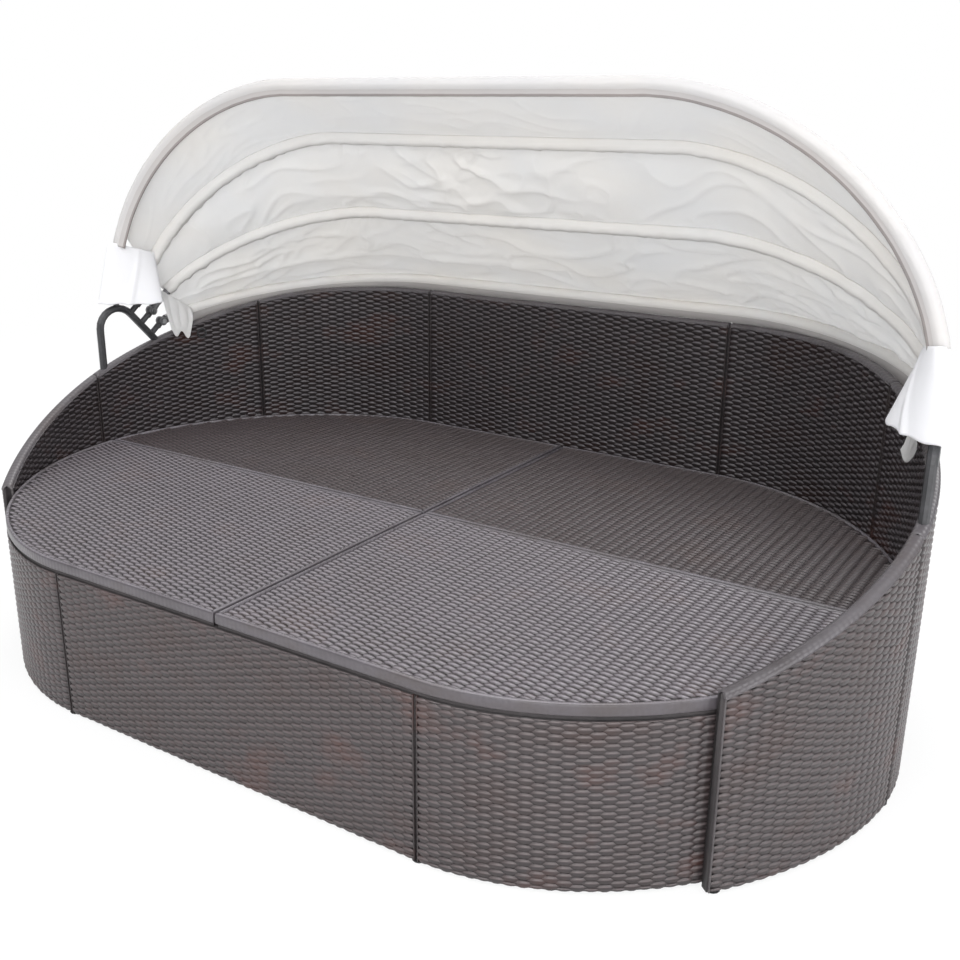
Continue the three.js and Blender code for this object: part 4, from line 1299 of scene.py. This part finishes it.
# corner cuffs: a closed skirt from the front bow's end to the wall, top and low line for each side
cuff = {
    "left": {
        "front": ((-0.9535, 0.036, 0.806), (-0.984, 0.014, 0.657)),
        "back": ((-0.924, 0.146, 0.772), (-0.882, 0.126, 0.654)),
        "lowWide": (0.0330, 0.0220),
        "backLift": 0.0,
    },
    "right": {
        "front": ((0.9535, 0.036, 0.774), (0.998, -0.008, 0.628)),
        "back": ((0.926, 0.142, 0.750), (0.877, 0.118, 0.630)),
        "lowWide": (0.0340, 0.0300),
        "backLift": 0.022,
    },
    "topWide": 0.0175,
    "fold": (0.05, 0.02, 0.0045),
    "flutes": (0.022, 6, 0.6),
    "crease": (0.0035, 4.5, 0.25, 0.10, 0.35),
    "thick": 0.0014,
    "rows": 36,
    "around": 120,
}


def buildCuff(sideName, side):
    ends = cuff[sideName]
    rows, around = cuff["rows"], cuff["around"]
    foldWide, foldLong, foldHigh = cuff["fold"]
    fluteDeep, flutes, fluteTurn = cuff["flutes"]
    creaseDeep, creaseAt, creaseLean, creaseWide, creaseTop = cuff["crease"]
    points = []
    for r in range(rows + 1):
        down = r / rows
        front, back = between(ends["front"], down), between(ends["back"], down)
        middle, reach = (front + back) / 2, (front - back) / 2
        reach.z = 0
        axis = reach.normalized()
        outer = Vector((axis.y, -axis.x, 0))
        if outer.x * side < 0:
            outer.negate()
        for k in range(around):
            angle = 2 * math.pi * k / around
            c, s = math.cos(angle), math.sin(angle)
            low = ends["lowWide"][0 if s > 0 else 1]
            wide = cuff["topWide"] + (low - cuff["topWide"]) * math.sin(math.pi / 2 * down)
            fold = noise.noise(Vector((c * 2.2 * side, s * 2.2, 4 + down * 0.5)))
            drape = 1 + (foldWide * fold + fluteDeep * math.cos(flutes * angle + fluteTurn)) * down
            crease = math.exp(-((angle - creaseAt - creaseLean * down) / creaseWide) ** 2) * (creaseTop + down)
            height = front.z + (back.z - front.z) * (1 - c) / 2 - foldHigh * fold * down
            height += ends["backLift"] * max(0.0, s) * down
            offset = axis * (reach.length * c * (1 + foldLong * fold * down))
            offset += outer * ((wide * drape + creaseDeep * crease) * s)
            points.append((middle.x + offset.x, middle.y + offset.y, height))
    name = "corner_cuff_" + sideName
    piece = clothSheet(name, points, around, cuff["thick"], [litCuffCloth], True, offset=1)
    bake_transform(piece)
    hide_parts("corner_flap_" + sideName)


# small hanging tails behind the cuffs: top, bend and tip line for each side
tail = {
    "left": {
        "top": ((-0.930, 0.166, 0.676), (-0.920, 0.252, 0.622)),
        "bend": ((-0.924, 0.163, 0.618), (-0.898, 0.236, 0.602)),
        "tip": ((-0.914, 0.182, 0.566), (-0.897, 0.222, 0.556)),
        "notch": 0.008,
        "round": 0.0,
    },
    "right": {
        "top": ((0.926, 0.188, 0.668), (0.922, 0.250, 0.618)),
        "bend": ((0.906, 0.190, 0.600), (0.899, 0.232, 0.596)),
        "tip": ((0.883, 0.203, 0.556), (0.908, 0.219, 0.556)),
        "notch": 0.0,
        "round": 0.024,
    },
    "swing": (0.0045, 1.6, 0.15, 1.1),
    "crumple": 0.003,
    "thick": 0.0014,
    "rows": 34,
    "across": 28,
}


def buildTail(sideName, side):
    ends = tail[sideName]
    rows, across = tail["rows"], tail["across"]
    swingWide, waves, shift, hang = tail["swing"]
    points = []
    for r in range(rows + 1):
        v = r / rows
        for c in range(across + 1):
            u = c / across
            top, bend, tip = (between(ends[key], u) for key in ("top", "bend", "tip"))
            point = top * (1 - v) ** 2 + bend * (2 * v * (1 - v)) + tip * v ** 2
            swing = math.sin(2 * math.pi * (u * waves + shift)) * swingWide * math.sin(math.pi * min(1.0, v * hang))
            swing += noise.noise(Vector((u * 3.0, v * 2.4, side * 2.0))) * tail["crumple"] * v
            point.x -= side * abs(swing)
            point.z += ends["notch"] * v * v * math.cos(math.pi * (u * 2 - 1) * 1.5)
            point.z -= ends["round"] * v ** 3 * (1 - (2 * u - 1) ** 2)
            points.append(point)
    piece = clothSheet("canopy_tail_" + sideName, points, across + 1, tail["thick"], [cloth])
    finishPiece(piece, "base", "cloth")


for sideName, side in sides.items():
    buildCuff(sideName, side)
    buildTail(sideName, side)
print("cuffs built")

# the metal and feet keep their CAD meshes: the first word found in a name gives the finish
finishes = {"glide": footPlastic, "pin": pinSteel, "bow": bowCoat, "tie": tieCord, "": coat}
for name, obj in nodes.items():
    if obj.hide_render:
        continue
    obj.data.materials.clear()
    obj.data.materials.append(next(finish for word, finish in finishes.items() if word in name))
    selectOnly(obj)
    bpy.ops.object.shade_smooth_by_angle(angle=math.radians(50))
print("metal dressed")

# floor, sky, lamps and camera
backdrop = {
    "size": 14,
    "floor": 0.90,
    "seen": 0.84,  # the floor's own white near the object, and from where it turns to plain white
    "near": 2.2,
    "far": 4.5,
    "sky": [  # from below up to overhead
        (0.0, (0.30, 0.305, 0.31)),
        (0.30, (0.48, 0.49, 0.50)),
        (0.70, (0.80, 0.81, 0.83)),
        (1.0, (0.9, 0.9, 0.9)),
    ],
}
lamps = {
    # place, what it points at, size, power, colour
    "key": ((-2.4, 2.8, 4.0), (0, 0.3, 0.6), (2.5, 2.5), 85, (1, 0.985, 0.96)),
    "back": ((2.2, 3.4, 3.2), (0, 0.3, 0.8), (2.5, 2.0), 52, (1, 1, 1)),
    "top": ((0.4, -1.2, 4.6), (0, 0.0, 0.6), (3.0, 2.0), 75, (0.97, 0.98, 1)),
    "side": ((4.0, -1.2, 1.8), (0.6, 0, 0.4), (2.0, 2.0), 55, (0.97, 0.98, 1)),
    "front": ((2.2, -3.5, 1.0), (-0.3, 0.4, 0.8), (2.4, 1.2), 46, (1, 0.99, 0.98)),
    "fill": ((0.3, -3.4, 2.8), (0.2, 0.4, 0.6), (2.4, 1.6), 53, (1, 1, 1)),
}


def buildFloor():
    reach = backdrop["size"]
    corners = [(-reach, -reach, 0), (reach, -reach, 0), (reach, reach, 0), (-reach, reach, 0)]
    material, tree, shader, coords = newMaterial("pale floor", 0.9)
    shader.inputs["Base Color"].default_value = (backdrop["floor"],) * 3 + (1,)
    shader.inputs["Specular IOR Level"].default_value = 0.0
    glow = addNode(tree, "ShaderNodeEmission", Strength=1.0)
    away = addNode(tree, "ShaderNodeVectorMath", operation="LENGTH")
    plug(tree, coords, away.inputs[0])
    fade = addNode(tree, "ShaderNodeMapRange", Value=away.outputs["Value"], From_Min=backdrop["near"],
                   From_Max=backdrop["far"], To_Min=backdrop["seen"], To_Max=1.0)
    rays = addNode(tree, "ShaderNodeLightPath")
    seen = mathNode(tree, "MULTIPLY", rays.outputs["Is Camera Ray"], fade.outputs["Result"])
    mixShaders(tree, seen, shader, glow)
    meshObject("floor", corners, [(0, 1, 2, 3)], [material], smooth=False)


def buildWorld():
    world = bpy.data.worlds.new("studio")
    bpy.context.scene.world = world
    world.use_nodes = True
    tree = world.node_tree
    background = tree.nodes["Background"]
    split = addNode(tree, "ShaderNodeSeparateXYZ", Vector=addNode(tree, "ShaderNodeTexCoord").outputs["Generated"])
    plug(tree, rampNode(tree, split.outputs["Z"], backdrop["sky"]), background.inputs["Color"])
    white = addNode(tree, "ShaderNodeBackground", Strength=1.0, Color=(1, 1, 1))
    seen = addNode(tree, "ShaderNodeLightPath").outputs["Is Camera Ray"]
    mixShaders(tree, seen, background, white, "World Output")


def areaLight(name, place, target, size, power, colour):
    data = bpy.data.lights.new(name, "AREA")
    data.shape = "RECTANGLE"
    data.size, data.size_y = size
    data.energy = power
    data.color = colour
    lamp = addObject(name, data)
    lamp.location = place
    lamp.rotation_euler = (Vector(target) - Vector(place)).to_track_quat("-Z", "Y").to_euler()


buildFloor()
buildWorld()
for name, lamp in lamps.items():
    areaLight(name, *lamp)

view = {
    "azimuth": 32.58, "elevation": 18.12, "roll": -0.64,
    "distance": 2.29903, "shiftX": -0.11614, "shiftY": -0.00989, "aim": 0.4,
    "focal": 1117.62, "frame": 960, "sensor": 36, "far": 60,
}


def placeCamera():
    azimuth, elevation, roll = (math.radians(view[key]) for key in ("azimuth", "elevation", "roll"))
    level = math.cos(elevation)
    forward = -Vector((math.sin(azimuth) * level, -math.cos(azimuth) * level, math.sin(elevation)))
    right = forward.cross(Vector((0, 0, 1))).normalized()
    down = forward.cross(right)
    c, s = math.cos(roll), math.sin(roll)
    right, down = right * c + down * s, -right * s + down * c
    place = Vector((0, 0, view["aim"])) - right * view["shiftX"] - down * view["shiftY"]
    place -= forward * view["distance"]
    data = bpy.data.cameras.new("camera")
    data.sensor_width = view["sensor"]
    data.lens = view["focal"] / view["frame"] * view["sensor"]
    data.clip_end = view["far"]
    camera = addObject("camera", data)
    turned = Matrix((right, -down, -forward)).transposed().to_4x4()
    camera.matrix_world = Matrix.Translation(place) @ turned
    bpy.context.scene.camera = camera


placeCamera()
bpy.context.scene.view_settings.view_transform = "Standard"
